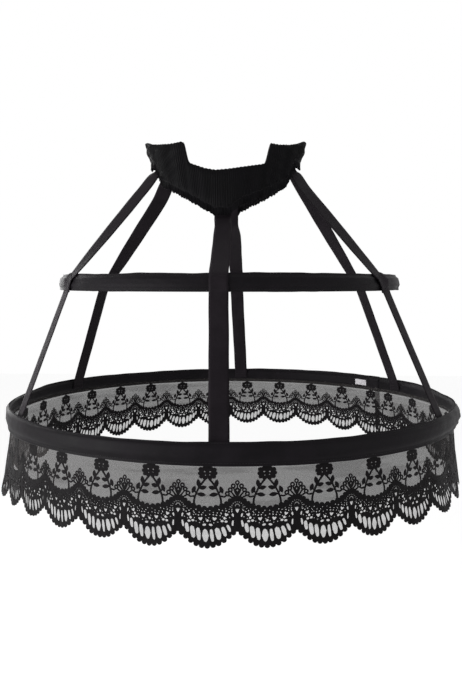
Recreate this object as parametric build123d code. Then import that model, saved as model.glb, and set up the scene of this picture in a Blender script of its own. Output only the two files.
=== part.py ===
from build123d import *
import math
import os

# Crinoline cage, hung by its waistband. Millimetres, +Z up, the front is at -Y.
# The origin is the centre of the waist opening.

# Waistband: a gathered tube of fabric, lifted at both sides and sagging front and back
BAND_HEIGHT = 64.0
BAND_THICKNESS = 8.0
SIDE_TOP = 61.0  # height of the top edge at the two sides
FRONT_TOP = 10.0  # height of the top edge at the middle of the front and back
SIDE_BOTTOM = 20.0  # height of the bottom edge at the outermost sides
HIP_BOTTOM = -8.0  # height of the bottom edge just inside the sides
UPPER_HALF_WIDTH = 125.0  # outside half width at SIDE_TOP
UPPER_HALF_DEPTH = 72.0
LOWER_HALF_WIDTH = 93.0  # outside half width at the lowest point of the band
LOWER_HALF_DEPTH = 86.0
SIDE_FLAT_INNER = 70.0  # the lifted top edge runs out from here to the side
SIDE_FLAT_DROP = 35.0  # how far the top edge falls just inside the lifted stretch
SIDE_FLAT_FALL = 8.0  # the width over which it falls
GATHER_COUNT = 38
GATHER_SLOPE = 0.09  # depth of a gather for each millimetre of its width
INNER_PEAK = 6.4  # depth below the outer peaks at which the inner face's peaks stand
TUNNEL_THICKNESS = 3.0
TUNNEL_FLATS = 28
TUNNEL_TOP_INSET = 4.0
TUNNEL_BOTTOM_INSET = 12.0
ELASTIC_THICKNESS = 2.2
ELASTIC_INSET = 2.0  # how much lower and higher than the tunnel's ends the elastic stops

# Hoops: heights below the waist, radii to the middle of each casing
MIDDLE_DROP = 150.0
MIDDLE_RADIUS = 253.0
MIDDLE_SHIFT = 6.0  # the hoops hang a little to one side of the waist
MIDDLE_LEAN = 14.0  # degrees, the lower edge stands further out
MIDDLE_CASING_HEIGHT = 22.0
MIDDLE_BONE_WIDTH = 8.0
MIDDLE_BONE_THICKNESS = 2.0

LOWER_DROP = 337.5
LOWER_RADIUS = 336.0
LOWER_SHIFT = 10.0
LOWER_LEAN = 4.0
LOWER_CASING_HEIGHT = 27.0
LOWER_BONE_WIDTH = 10.0
LOWER_BONE_THICKNESS = 2.8

CASING_WALL = 0.8
CASING_EASE = 0.65  # slack of the fabric over each side of the sleeve
BONE_END_GAP = 1.0
SLEEVE_LENGTH = 30.0
SLEEVE_WALL = 0.7
SLEEVE_CLEARANCE = 0.2
JOIN_ANGLE = 39.5  # where the hoops and the lace are joined, at the back right

# Straps
STRAP_WIDTH = 24.0
STRAP_THICKNESS = 1.0
STRAP_TUCK = 28.0  # length sewn inside the waistband
STRAP_BELOW_BAND = 2.5  # a strap turns outward so far below the band's edge
STRAP_REACH = STRAP_WIDTH * 0.75  # half the width that it needs clear under the band
STRAP_END = 5.5  # how far below the middle of the lower casing a strap ends
SEAT = 0.3  # clearance where a sewn piece lies on another
STRAP_STAND = SEAT + STRAP_THICKNESS / 2 + 0.2  # from a casing's side to a strap's middle

# Lace
LACE_THICKNESS = 0.8
LACE_OVERLAP = 6.0  # height sewn behind the lower casing
LACE_TIP = 93.0  # from the casing's lower edge to the scallop tips
LACE_NOTCH = 75.0  # from the casing's lower edge to the notches between scallops
LACE_FLARE = 3.0  # the hem stands so far outside the middle of the casing
SCALLOP_DIP = 0.15  # keeps a narrow flat at each scallop's tip

LABEL_WIDTH = 25.0
LABEL_HEIGHT = 10.5
LABEL_THICKNESS = 0.4
LABEL_ANGLE = 45.5

# The two right straps are sewn side by side inside the waistband
PAIR_MIDDLE = -0.5  # angle round the waistband midway between them
PAIR_GAP = 2.6
SEAT_HALF_DEPTH = (UPPER_HALF_DEPTH + LOWER_HALF_DEPTH) / 2 - INNER_PEAK
PAIR_TURN = math.degrees((STRAP_WIDTH + PAIR_GAP) / 2 / SEAT_HALF_DEPTH)

# Each strap: angle at the lower hoop, at the middle hoop and round the waistband
STRAP_ANGLES = {
    "front_strap": (-90.0, -91.0, -90.0),
    "front_left_strap": (-145.5, -144.5, -172.0),
    "front_right_strap": (-33.0, -36.5, PAIR_MIDDLE - PAIR_TURN),
    "back_right_strap": (33.0, 35.0, PAIR_MIDDLE + PAIR_TURN),
    "back_strap": (89.5, 90.0, 90.0),
    "back_left_strap": (148.5, 149.5, 157.0),
}

BAND_LOWEST = FRONT_TOP - BAND_HEIGHT
HIP_X = 92.0  # the bottom edge rises to the sides from here
SIDE_X = 104.0  # and has risen here
DIP_X = 12.0  # half width of the lowest stretch at the front and back
CUT_MARGIN = 10.0


def on_circle(radius, angle, height=0.0):
    """Point on a level circle about the Z axis."""
    turn = math.radians(angle)
    return Vector(radius * math.cos(turn), radius * math.sin(turn), height)


def between(start, end, share):
    """Value that share of the way from start to end."""
    return start + (end - start) * share


def band_half_size(height, inset=0.0):
    """Outside half width and half depth of the waistband at a height, less an inset."""
    share = (height - BAND_LOWEST) / (SIDE_TOP - BAND_LOWEST)
    half_width = between(LOWER_HALF_WIDTH, UPPER_HALF_WIDTH, share) - inset
    half_depth = between(LOWER_HALF_DEPTH, UPPER_HALF_DEPTH, share) - inset
    return half_width, half_depth


def oval_corners(height, inset, count):
    """Corners of the waistband's oval at a height. Its flats face the same way at every height."""
    half_width, half_depth = band_half_size(height, inset)
    middle_width, middle_depth = band_half_size((BAND_LOWEST + SIDE_TOP) / 2)
    flats = []
    for i in range(count):
        turn = 2 * math.pi * (i + 0.5) / count
        facing = math.atan2(middle_width * math.sin(turn), middle_depth * math.cos(turn))
        reach = math.hypot(half_width * math.cos(facing), half_depth * math.sin(facing))
        flats.append((facing, reach))
    corners = []
    for i, (facing, reach) in enumerate(flats):
        last_facing, last_reach = flats[i - 1]
        across = last_reach * math.sin(facing) - reach * math.sin(last_facing)
        along = reach * math.cos(last_facing) - last_reach * math.cos(facing)
        corners.append(Vector(across, along, 0) / math.sin(facing - last_facing))
    return corners


def oval_block(inset, count, slope=0.0, overrun=0.0):
    """Leaning oval block with flat sides, or with a fold in the middle of each where there is a slope."""
    outlines = []
    for height in (BAND_LOWEST - overrun, SIDE_TOP + overrun):
        corners = oval_corners(height, inset, count)
        points = []
        for start, end in zip(corners, corners[1:] + corners[:1]):
            points.append(start)
            if slope:
                run = end - start
                points.append((start + end) / 2 + Vector(-run.Y, run.X, 0) * slope)
        outlines.append([point + Vector(0, 0, height) for point in points])
    low, high = outlines
    faces = [make_face(Polyline(*outline, close=True)) for outline in outlines]
    for i in range(len(low)):
        faces.append(make_face(Polyline(low[i - 1], low[i], high[i], high[i - 1], close=True)))
    return Solid(Shell(faces))


def gathered_ring():
    """Oval ring whose two walls fold in once for each gather."""
    block = oval_block(0, GATHER_COUNT, GATHER_SLOPE)
    return block - oval_block(INNER_PEAK, GATHER_COUNT, GATHER_SLOPE, CUT_MARGIN)


def plain_ring(thickness):
    """Oval ring in the middle of the waistband's thickness."""
    skin = (BAND_THICKNESS - thickness) / 2
    return oval_block(skin, TUNNEL_FLATS) - oval_block(skin + thickness, TUNNEL_FLATS, 0, CUT_MARGIN)


def band_profile(top_inset, bottom_inset):
    """Front view of the waistband, drawn through its whole depth."""
    outer = UPPER_HALF_WIDTH + CUT_MARGIN
    top = SIDE_TOP - top_inset
    fall_x = SIDE_FLAT_INNER - SIDE_FLAT_FALL
    fall_z = top - SIDE_FLAT_DROP
    dip = FRONT_TOP - top_inset
    side = SIDE_BOTTOM + bottom_inset
    hip = HIP_BOTTOM + bottom_inset
    lowest = BAND_LOWEST + bottom_inset
    edges = [
        Line((-outer, top), (-SIDE_FLAT_INNER, top)),
        Line((-SIDE_FLAT_INNER, top), (-fall_x, fall_z)),
        ThreePointArc((-fall_x, fall_z), (0, dip), (fall_x, fall_z)),
        Line((fall_x, fall_z), (SIDE_FLAT_INNER, top)),
        Line((SIDE_FLAT_INNER, top), (outer, top)),
        Line((outer, top), (outer, side)),
        Line((outer, side), (SIDE_X, side)),
        Line((SIDE_X, side), (HIP_X, hip)),
        Line((HIP_X, hip), (DIP_X, lowest)),
        Line((DIP_X, lowest), (-DIP_X, lowest)),
        Line((-DIP_X, lowest), (-HIP_X, hip)),
        Line((-HIP_X, hip), (-SIDE_X, side)),
        Line((-SIDE_X, side), (-outer, side)),
        Line((-outer, side), (-outer, top)),
    ]
    face = Plane.XZ * make_face(edges)
    return extrude(face, UPPER_HALF_DEPTH + LOWER_HALF_DEPTH, both=True)


def waistband():
    """The gathered cover with its tunnel, and the elastic in the tunnel."""
    tunnel = plain_ring(TUNNEL_THICKNESS) & band_profile(TUNNEL_TOP_INSET, TUNNEL_BOTTOM_INSET)
    cover = (gathered_ring() & band_profile(0, 0)) - tunnel
    elastic_ends = band_profile(TUNNEL_TOP_INSET + ELASTIC_INSET, TUNNEL_BOTTOM_INSET + ELASTIC_INSET)
    return cover, plain_ring(ELASTIC_THICKNESS) & elastic_ends


class Hoop:
    """A hoop: its casing, its bone and the sleeve that joins the bone's ends."""

    def __init__(self, drop, radius, shift, lean, height, bone_width, bone_thickness):
        self.drop = drop
        self.radius = radius
        self.shift = shift
        self.lean = lean
        self.half_height = height / 2
        sleeve_skin = SLEEVE_CLEARANCE + SLEEVE_WALL
        self.half_thickness = bone_thickness / 2 + sleeve_skin + CASING_EASE + CASING_WALL
        self.half_belly = bone_width / 2 + sleeve_skin + SEAT
        self.bone_width = bone_width
        self.bone_thickness = bone_thickness

    def place(self, section):
        """Section drawn upright about zero, leaned and put at the hoop's radius."""
        return Plane.XZ * Pos(self.radius, -self.drop) * Rot(0, 0, self.lean) * section

    def ring(self, section, start=0.0, sweep=360.0):
        """The section turned about the hoop's own axis."""
        body = revolve(self.place(section), Axis.Z, sweep)
        return Pos(self.shift, 0, 0) * Rot(0, 0, start) * body

    def casing(self):
        """The fabric tube: full over the bone, drawn to a sewn edge above and below."""
        full, belly, edge = self.half_thickness, self.half_belly, self.half_height
        outline = [(0, edge), (full, belly), (full, -belly), (0, -edge), (-full, -belly), (-full, belly)]
        hollow = Rectangle(2 * (full - CASING_WALL), 2 * belly)
        return self.ring(make_face(Polyline(*outline, close=True)) - hollow)

    def bone(self):
        """The bone, one flat strip bent round until its ends nearly meet."""
        gap = math.degrees(BONE_END_GAP / self.radius)
        section = Rectangle(self.bone_thickness, self.bone_width)
        return self.ring(section, JOIN_ANGLE + gap / 2, 360 - gap)

    def sleeve(self):
        """The flat sleeve over the bone's two ends."""
        hole_thickness = self.bone_thickness + 2 * SLEEVE_CLEARANCE
        hole_width = self.bone_width + 2 * SLEEVE_CLEARANCE
        outer = Rectangle(hole_thickness + 2 * SLEEVE_WALL, hole_width + 2 * SLEEVE_WALL)
        section = outer - Rectangle(hole_thickness, hole_width)
        sweep = math.degrees(SLEEVE_LENGTH / self.radius)
        return self.ring(section, JOIN_ANGLE - sweep / 2, sweep)

    def side_stand(self, rise):
        """How far the casing's side stands from its section's middle line at a height."""
        slope_height = self.half_height - self.half_belly
        share = max(0.0, (abs(rise) - self.half_belly) / slope_height)
        return between(self.half_thickness, 0.0, share)

    def section_point(self, rise, stand_off):
        """Radius and height of a point so high up the leaning section and so far out from it."""
        lean = math.radians(self.lean)
        out = stand_off * math.cos(lean) - rise * math.sin(lean)
        up = rise * math.cos(lean) + stand_off * math.sin(lean)
        return self.radius + out, up - self.drop

    def beside(self, angle, rise, stand_off):
        """The same point, at an angle round the hoop."""
        radius, height = self.section_point(rise, stand_off)
        return on_circle(radius, angle, height) + Vector(self.shift, 0, 0)


middle_hoop = Hoop(
    MIDDLE_DROP,
    MIDDLE_RADIUS,
    MIDDLE_SHIFT,
    MIDDLE_LEAN,
    MIDDLE_CASING_HEIGHT,
    MIDDLE_BONE_WIDTH,
    MIDDLE_BONE_THICKNESS,
)
lower_hoop = Hoop(
    LOWER_DROP,
    LOWER_RADIUS,
    LOWER_SHIFT,
    LOWER_LEAN,
    LOWER_CASING_HEIGHT,
    LOWER_BONE_WIDTH,
    LOWER_BONE_THICKNESS,
)


def band_bottom(x):
    """Height of the waistband's bottom edge at a distance from its middle, as band_profile draws it."""
    x = abs(x)
    if x >= SIDE_X:
        return SIDE_BOTTOM
    if x >= HIP_X:
        return between(HIP_BOTTOM, SIDE_BOTTOM, (x - HIP_X) / (SIDE_X - HIP_X))
    if x >= DIP_X:
        return between(BAND_LOWEST, HIP_BOTTOM, (x - DIP_X) / (HIP_X - DIP_X))
    return BAND_LOWEST


def waist_seat(angle, height):
    """Place and sideways direction of a strap that lies on the waistband's inner face."""
    turn = math.radians(angle)
    half_width, half_depth = band_half_size(height, INNER_PEAK)
    stretch = math.hypot(half_width * math.sin(turn), half_depth * math.cos(turn))
    bend_radius = stretch**3 / (half_width * half_depth)
    fold = GATHER_SLOPE * stretch * 2 * math.pi / GATHER_COUNT
    stand_in = fold + SEAT + STRAP_THICKNESS / 2 + STRAP_WIDTH**2 / (8 * bend_radius)
    side = Vector(-half_width * math.sin(turn), half_depth * math.cos(turn), 0).normalized()
    inward = Vector(-side.Y, side.X, 0)
    wall = Vector(half_width * math.cos(turn), half_depth * math.sin(turn), height)
    return wall + inward * stand_in, side


def slant(start, end, angle):
    """Sideways travel for each millimetre of drop, between two points, seen at a hoop angle."""
    travel = end - start
    return travel.dot(on_circle(1, angle + 90)) / -travel.Z


def hoop_stations(hoop, angle, slope, rises, stand_sign):
    """Strap places over one face of a casing, slanted as the strap runs."""
    stations = []
    for rise in rises:
        here = angle - math.degrees(slope * rise / hoop.radius)
        hollow = STRAP_WIDTH**2 / (8 * hoop.radius) if stand_sign < 0 else 0.0
        stand = hoop.side_stand(rise) + STRAP_STAND + hollow
        stations.append((hoop.beside(here, rise, stand_sign * stand), on_circle(1, here + 90)))
    return stations


def heading(points, i):
    """Direction of a path at its point i, midway between the runs before and after it."""
    before = points[i] - points[i - 1] if i > 0 else points[1] - points[0]
    after = points[i + 1] - points[i] if i + 1 < len(points) else before
    return (before.normalized() + after.normalized()).normalized()


def strap(lower_angle, middle_angle, waist_angle):
    """One tape: sewn inside the waistband, outside the middle casing, inside the lower casing."""
    half_width = STRAP_WIDTH / 2
    centre, side = waist_seat(waist_angle, 0)
    reach = [band_bottom((centre + side * STRAP_REACH * s).X) for s in (-1, 0, 1)]
    leave = min(reach) - STRAP_BELOW_BAND
    tucked = waist_seat(waist_angle, leave + STRAP_TUCK)
    leaving = waist_seat(waist_angle, leave)
    over = middle_hoop.beside(middle_angle, 0, 0)
    under = lower_hoop.beside(lower_angle, 0, 0)
    upper_slant = slant(leaving[0], over, middle_angle)
    lower_slant = slant(over, under, middle_angle)
    edge, full = middle_hoop.half_height, middle_hoop.half_belly
    middle_rises = [edge, full, -full, -edge]
    lower_rises = [lower_hoop.half_belly, -STRAP_END]
    stations = [tucked, leaving]
    middle_slant = (upper_slant + lower_slant) / 2
    stations += hoop_stations(middle_hoop, middle_angle, middle_slant, middle_rises, 1)
    end_slant = slant(over, under, lower_angle)
    stations += hoop_stations(lower_hoop, lower_angle, end_slant, lower_rises, -1)
    sections = []
    for i, (point, side) in enumerate(stations):
        along = heading([place for place, _ in stations], i)
        side = (side - along * side.dot(along)).normalized()
        across = side * half_width
        thick = side.cross(along) * (STRAP_THICKNESS / 2)
        corners = [point + across + thick, point - across + thick]
        corners += [point - across - thick, point + across - thick]
        sections.append(make_face(Polyline(*corners, close=True)))
    return loft(sections, ruled=True)


def rose_angles():
    """Angles of the lace's repeats. They sit closer together along the right side."""
    first, turn_point, count_right, count_rest = 36.2, -46.5, 8, 24
    last = 43.1 - 360
    angles = [between(first, turn_point, i / count_right) for i in range(count_right)]
    angles += [between(turn_point, last, i / count_rest) for i in range(count_rest + 1)]
    return angles


def lace():
    """The lace strip: sewn behind the lower casing, flared below it and scalloped along its hem."""
    hoop = lower_hoop
    half = LACE_THICKNESS / 2
    top_rise = LACE_OVERLAP - hoop.half_height
    top = hoop.section_point(top_rise, -hoop.side_stand(top_rise) - SEAT - half)
    foot = hoop.section_point(-hoop.half_height, 0)[1]
    hem_radius = hoop.radius + LACE_FLARE
    line = [top, (hem_radius, foot - LACE_TIP)]
    outer = [(r + half, z) for r, z in line]
    inner = [(r - half, z) for r, z in reversed(line)]
    section = Plane.XZ * make_face(Polyline(*outer, *inner, close=True))
    strip = revolve(section, Axis.Z)
    angles = rose_angles()
    for i, angle in enumerate(angles):
        following = angles[(i + 1) % len(angles)]
        gap = (angle - following) % 360
        strip -= notch_cutter(hem_radius, angle - gap / 2, math.radians(gap) / 2, foot)
    return Pos(hoop.shift, 0, 0) * strip


def notch_cutter(hem_radius, angle, half_turn, foot):
    """What is cut away below the hem between two neighbouring scallop tips."""
    half_pitch = hem_radius * math.tan(half_turn)
    tip = foot - LACE_TIP - SCALLOP_DIP
    notch = foot - LACE_NOTCH
    depth = notch - tip
    bow_radius = (half_pitch**2 + depth**2) / (2 * depth)
    half_arc = math.asin(half_pitch / bow_radius) / 2
    mid_x = half_pitch - bow_radius * math.sin(half_arc)
    mid_z = tip + bow_radius * (1 - math.cos(half_arc))
    edges = [
        ThreePointArc((-half_pitch, tip), (-mid_x, mid_z), (0, notch)),
        ThreePointArc((0, notch), (mid_x, mid_z), (half_pitch, tip)),
        Line((half_pitch, tip), (-half_pitch, tip)),
    ]
    out = on_circle(1, angle)
    view = Plane(origin=out * hem_radius, x_dir=on_circle(1, angle + 90), z_dir=out)
    return extrude(view * make_face(edges), CUT_MARGIN, both=True)


def label():
    """The bare label on the inner face of the lower casing."""
    hoop = lower_hoop
    hollow = LABEL_WIDTH**2 / (8 * hoop.radius)
    stand = -hoop.half_thickness - SEAT - hollow - LABEL_THICKNESS / 2
    centre = hoop.beside(LABEL_ANGLE, 0, stand)
    lean = Rot(0, -hoop.lean, 0)
    return Pos(*centre) * Rot(0, 0, LABEL_ANGLE) * lean * Box(LABEL_THICKNESS, LABEL_WIDTH, LABEL_HEIGHT)


def main():
    os.makedirs("parts", exist_ok=True)
    cover, elastic = waistband()
    nodes = {
        "waistband_cover": cover,
        "waist_elastic": elastic,
        "middle_hoop_casing": middle_hoop.casing(),
        "middle_hoop_bone": middle_hoop.bone(),
        "middle_bone_sleeve": middle_hoop.sleeve(),
        "lower_hoop_casing": lower_hoop.casing(),
        "lower_hoop_bone": lower_hoop.bone(),
        "lower_bone_sleeve": lower_hoop.sleeve(),
        "lace_trim": lace(),
        "care_label": label(),
    }
    for name, angles in STRAP_ANGLES.items():
        nodes[name] = strap(*angles)
    for name, body in nodes.items():
        export_step(body, f"parts/{name}.step")


main()
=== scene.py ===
"""The visible pieces of a crinoline cage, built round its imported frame.

Sizes in the classes are millimetres in the frame of the part, and every mesh is written in metres.
The waistband's opening is at the origin, +Z is up and the front is at -Y. Angles run round +Z from +X.
"""

from __future__ import annotations

import logging
import math
from contextlib import contextmanager
from dataclasses import dataclass, field
from enum import Enum
from typing import Callable, Iterator, Sequence, Union

import bmesh
import bpy
import numpy as np
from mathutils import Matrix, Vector
from mathutils.geometry import delaunay_2d_cdt

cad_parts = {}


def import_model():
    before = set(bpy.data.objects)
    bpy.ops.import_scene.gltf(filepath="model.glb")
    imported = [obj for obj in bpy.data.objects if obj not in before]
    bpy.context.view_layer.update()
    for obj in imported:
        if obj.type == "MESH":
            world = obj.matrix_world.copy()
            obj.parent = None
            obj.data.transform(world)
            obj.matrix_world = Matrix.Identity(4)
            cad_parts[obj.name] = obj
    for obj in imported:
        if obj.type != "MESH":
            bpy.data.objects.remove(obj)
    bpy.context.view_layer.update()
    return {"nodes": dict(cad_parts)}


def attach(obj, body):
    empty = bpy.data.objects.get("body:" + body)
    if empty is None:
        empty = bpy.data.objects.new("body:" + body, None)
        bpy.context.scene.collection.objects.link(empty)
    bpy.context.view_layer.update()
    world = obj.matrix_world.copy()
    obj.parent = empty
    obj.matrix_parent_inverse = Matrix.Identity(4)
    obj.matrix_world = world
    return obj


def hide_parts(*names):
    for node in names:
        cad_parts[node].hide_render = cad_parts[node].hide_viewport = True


LOG = logging.getLogger("crinoline_cage")
MM = 0.001
TAU = 2 * math.pi
UV_NAME = "UVMap"

Array = np.ndarray
Colour = tuple[float, float, float, float]
Triple = tuple[float, float, float]
Number = Union[float, "Value"]
Piece = bpy.types.Object


class Value:
    """A number or colour that a shader works out at each point, used in Python expressions."""

    def __init__(self, shader: Shader, socket: bpy.types.NodeSocket) -> None:
        """Keeps the socket and the shader it belongs to."""
        self.shader = shader
        self.socket = socket

    def _math(self, operation: str, first: Number, second: Number = 0.0) -> Value:
        """One Math node on two values."""
        return self.shader.node("ShaderNodeMath", {"operation": operation}, {0: first, 1: second})

    def __add__(self, other: Number) -> Value:
        """self + other."""
        return self._math("ADD", self, other)

    __radd__ = __add__

    def __sub__(self, other: Number) -> Value:
        """self - other."""
        return self._math("SUBTRACT", self, other)

    def __rsub__(self, other: Number) -> Value:
        """other - self."""
        return self._math("SUBTRACT", other, self)

    def __mul__(self, other: Number) -> Value:
        """self * other."""
        return self._math("MULTIPLY", self, other)

    __rmul__ = __mul__

    def __abs__(self) -> Value:
        """The size of self."""
        return self._math("ABSOLUTE", self)

    def sine(self) -> Value:
        """Sine of self, in radians."""
        return self._math("SINE", self)

    def step(self, low: float, high: float, at_low: float = 0.0, at_high: float = 1.0) -> Value:
        """Smooth change from at_low, up to low, to at_high, from high on."""
        limits = {"From Min": low, "From Max": high, "To Min": at_low, "To Max": at_high}
        settings = {"interpolation_type": "SMOOTHSTEP"}
        return self.shader.node("ShaderNodeMapRange", settings, {"Value": self, **limits})


class Shader:
    """A node tree and the few ways in which this part's finishes fill it."""

    def __init__(self, owner: bpy.types.Material | bpy.types.World) -> None:
        """Empties the node tree of a material or of the surroundings."""
        self.owner = owner
        owner.use_nodes = True
        self.tree = owner.node_tree
        self.tree.nodes.clear()

    @classmethod
    def named(cls, name: str) -> Shader:
        """The shader of a new material of that name."""
        return cls(bpy.data.materials.new(name))

    def node(
        self,
        kind: str,
        settings: dict[str, object] | None = None,
        inputs: dict[object, object] | None = None,
        output: int = 0,
    ) -> Value:
        """Adds any node.

        Args:
            kind: the node's type.
            settings: its properties, set before its sockets.
            inputs: a value or a link for each named or numbered socket.
            output: which output is wanted.

        Returns:
            That output.
        """
        made = self.tree.nodes.new(kind)
        for key, value in (settings or {}).items():
            setattr(made, key, value)
        for key, value in (inputs or {}).items():
            if isinstance(value, Value):
                self.tree.links.new(value.socket, made.inputs[key])
            else:
                made.inputs[key].default_value = value
        return Value(self, made.outputs[output] if made.outputs else None)

    def cloth_place(self) -> tuple[Value, Value]:
        """Distance along and across the cloth, in millimetres."""
        place = self.node("ShaderNodeUVMap", {"uv_map": UV_NAME})
        along = self.node("ShaderNodeSeparateXYZ", None, {0: place})
        across = Value(self, along.socket.node.outputs[1])
        return along * (1 / MM), across * (1 / MM)

    def object_place(self) -> Value:
        """Place in the object's own frame, in metres."""
        return self.node("ShaderNodeTexCoord", output=3)

    def noise(self, size: float, detail: float = 2.0, stretch: tuple[float, ...] = (1, 1, 1)) -> Value:
        """Cloudy variation from 0 to 1.

        Args:
            size: how large the clouds are, in millimetres.
            detail: how many finer layers are added.
            stretch: how much finer they are along each axis.

        Returns:
            The variation.
        """
        places = {0: self.object_place(), 1: stretch}
        spread = self.node("ShaderNodeVectorMath", {"operation": "MULTIPLY"}, places)
        return self.node(
            "ShaderNodeTexNoise", None, {"Vector": spread, "Scale": 1000.0 / size, "Detail": detail}
        )

    def mix(self, share: Number, first: object, second: object) -> Value:
        """Colour that share of the way from first to second."""
        return self.node("ShaderNodeMix", {"data_type": "RGBA"}, {0: share, 6: first, 7: second}, 2)

    def bump(self, height: Value, depth: float) -> Value:
        """Surface normal for a relief of that depth in millimetres."""
        return self.node("ShaderNodeBump", None, {"Height": height, "Distance": depth * MM, "Strength": 1.0})

    def surface(self, **inputs: object) -> bpy.types.Material:
        """Ends the material in one Principled shader, whose sockets are named with underscores."""
        named = {key.replace("_", " "): value for key, value in inputs.items()}
        shader = self.node("ShaderNodeBsdfPrincipled", None, named)
        self.node("ShaderNodeOutputMaterial", None, {"Surface": shader})
        return self.owner


class Weave(Enum):
    """How the threads of a cloth lie."""

    SATIN = "long threads along the cloth"
    TAPE = "fine ribs across the tape"
    PLAIN = "threads over and under"


@dataclass(frozen=True)
class ClothFinish:
    """A woven cloth: its two shades of thread, its gloss and its weave; the paler shade is partly a painted
    highlight on the thread crests.
    """

    name: str
    weave: Weave
    colour: Colour
    # The paler shade of thread: reached by random tone, and on the thread crests as a painted highlight.
    paler_tone: Colour
    roughness: float
    specular: float
    sheen: float
    pitch: float
    relief: float
    cloud_size: float = 34.0
    slub_size: float = 3.2

    def build(self) -> bpy.types.Material:
        """Makes the material."""
        shader = Shader.named(self.name)
        along, across = shader.cloth_place()
        clouds = shader.noise(self.cloud_size, 3.0)
        slub = shader.noise(self.slub_size)
        threads = self._threads(along, across)
        # Clouds and slubs vary the tone at random; the threads' share paints each crest paler, a painted
        # highlight, with painted shade between the threads.
        shade = clouds.step(0.35, 0.7) * 0.55 + slub * 0.3 + threads * 0.15
        return shader.surface(
            Base_Color=shader.mix(shade, self.colour, self.paler_tone),
            Roughness=clouds.step(0.3, 0.75, self.roughness - 0.05, self.roughness + 0.07),
            Normal=shader.bump(threads * 0.7 + slub * 0.6, self.relief),
            Specular_IOR_Level=self.specular,
            Sheen_Weight=self.sheen,
            Sheen_Roughness=0.4,
        )

    def _threads(self, along: Value, across: Value) -> Value:
        """Height of the threads, from 0 to 1."""
        turn = TAU / self.pitch
        if self.weave is Weave.TAPE:
            return (along * turn).sine() * 0.35 + (across * (turn * 0.8)).sine() * 0.15 + 0.5
        if self.weave is Weave.SATIN:
            return ((across + along * 0.21) * turn).sine() * 0.3 + (along * (turn * 0.27)).sine() * 0.2 + 0.5
        return (along * turn).sine() * (across * turn).sine() * 0.5 + 0.5


@dataclass(frozen=True)
class NetFinish:
    """Fine hexagonal net: dense where the lace's body is, and more open behind its cutwork."""

    name: str = "lace_net_thread"
    colour: Colour = (0.022, 0.02, 0.021, 1)
    paler_tone: Colour = (0.034, 0.031, 0.03, 1)
    pitch: float = 1.15
    thread_cover: float = 0.93
    dense_hole: float = 0.62
    open_hole: float = 0.2
    open_thread: float = 0.66
    opens_from: float = 47.0
    opens_to: float = 51.0
    hem: float = 1.3

    def build(self) -> bpy.types.Material:
        """Makes the material."""
        shader = Shader.named(self.name)
        along, down = shader.cloth_place()
        lean = math.cos(math.radians(30))
        turn = TAU / (self.pitch * lean)
        cells = (down * turn).sine() + ((along * lean + down * 0.5) * turn + 0.4).sine()
        cells = cells + ((along * lean - down * 0.5) * turn - 0.4).sine()
        hole = cells.step(0.1, 0.9)
        below = down.step(self.opens_from, self.opens_to)
        thread_cover = below * (self.open_thread - self.thread_cover) + self.thread_cover
        hole_cover = below * (self.open_hole - self.dense_hole) + self.dense_hole
        crease = shader.noise(26.0, 2.0, (0.25, 0.25, 2.2)).step(0.5, 0.62) * 0.05
        hem = abs(down - self.hem).step(0.4, 1.0, 0.07, 0.0)
        tone = shader.noise(70.0, 1.0)
        return shader.surface(
            Base_Color=shader.mix(tone, self.colour, self.paler_tone),
            Roughness=tone.step(0.2, 0.8, 0.7, 0.85),
            Alpha=thread_cover + (hole_cover - thread_cover) * hole + crease - hem,
            Specular_IOR_Level=0.15,
        )


@dataclass(frozen=True)
class ThreadFinish:
    """Close rows of thread: the lace's embroidery, the sewing and the elastic."""

    name: str
    colour: Colour
    lit: Colour
    roughness: float
    specular: float
    row: float
    depth: float
    slant: float = 0.6

    def build(self) -> bpy.types.Material:
        """Makes the material. It takes its place from the object, so it needs no map."""
        shader = Shader.named(self.name)
        settings = {"wave_type": "BANDS", "bands_direction": "Z"}
        inputs = {
            "Vector": shader.object_place(),
            "Scale": 314.0 / self.row,
            "Distortion": self.slant,
            "Detail": 1.0,
        }
        wave = shader.node("ShaderNodeTexWave", settings, inputs, 1)
        fuzz = shader.noise(0.8)
        tone = shader.noise(9.0)
        return shader.surface(
            Base_Color=shader.mix(wave * 0.4 + tone * 0.5, self.colour, self.lit),
            Roughness=tone.step(0.3, 0.7, self.roughness - 0.06, self.roughness + 0.06),
            Normal=shader.bump(wave * 0.7 + fuzz * 0.5, self.depth),
            Specular_IOR_Level=self.specular,
            Sheen_Weight=0.02,
            Sheen_Roughness=0.5,
        )


@dataclass(frozen=True)
class HardFinish:
    """A bone's coating or a sleeve's metal, with scuffs along its length."""

    name: str
    colour: Colour
    scuffed: Colour
    roughness: float
    metallic: float
    grain: float

    def build(self) -> bpy.types.Material:
        """Makes the material."""
        shader = Shader.named(self.name)
        grain = shader.noise(self.grain, 3.0, (1, 1, 6))
        scuffs = shader.noise(12.0, 4.0).step(0.52, 0.7)
        return shader.surface(
            Base_Color=shader.mix(scuffs, self.colour, self.scuffed),
            Roughness=grain.step(0.3, 0.8, self.roughness - 0.08, self.roughness + 0.15),
            Normal=shader.bump(grain, 0.06),
            Metallic=self.metallic,
        )


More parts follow.
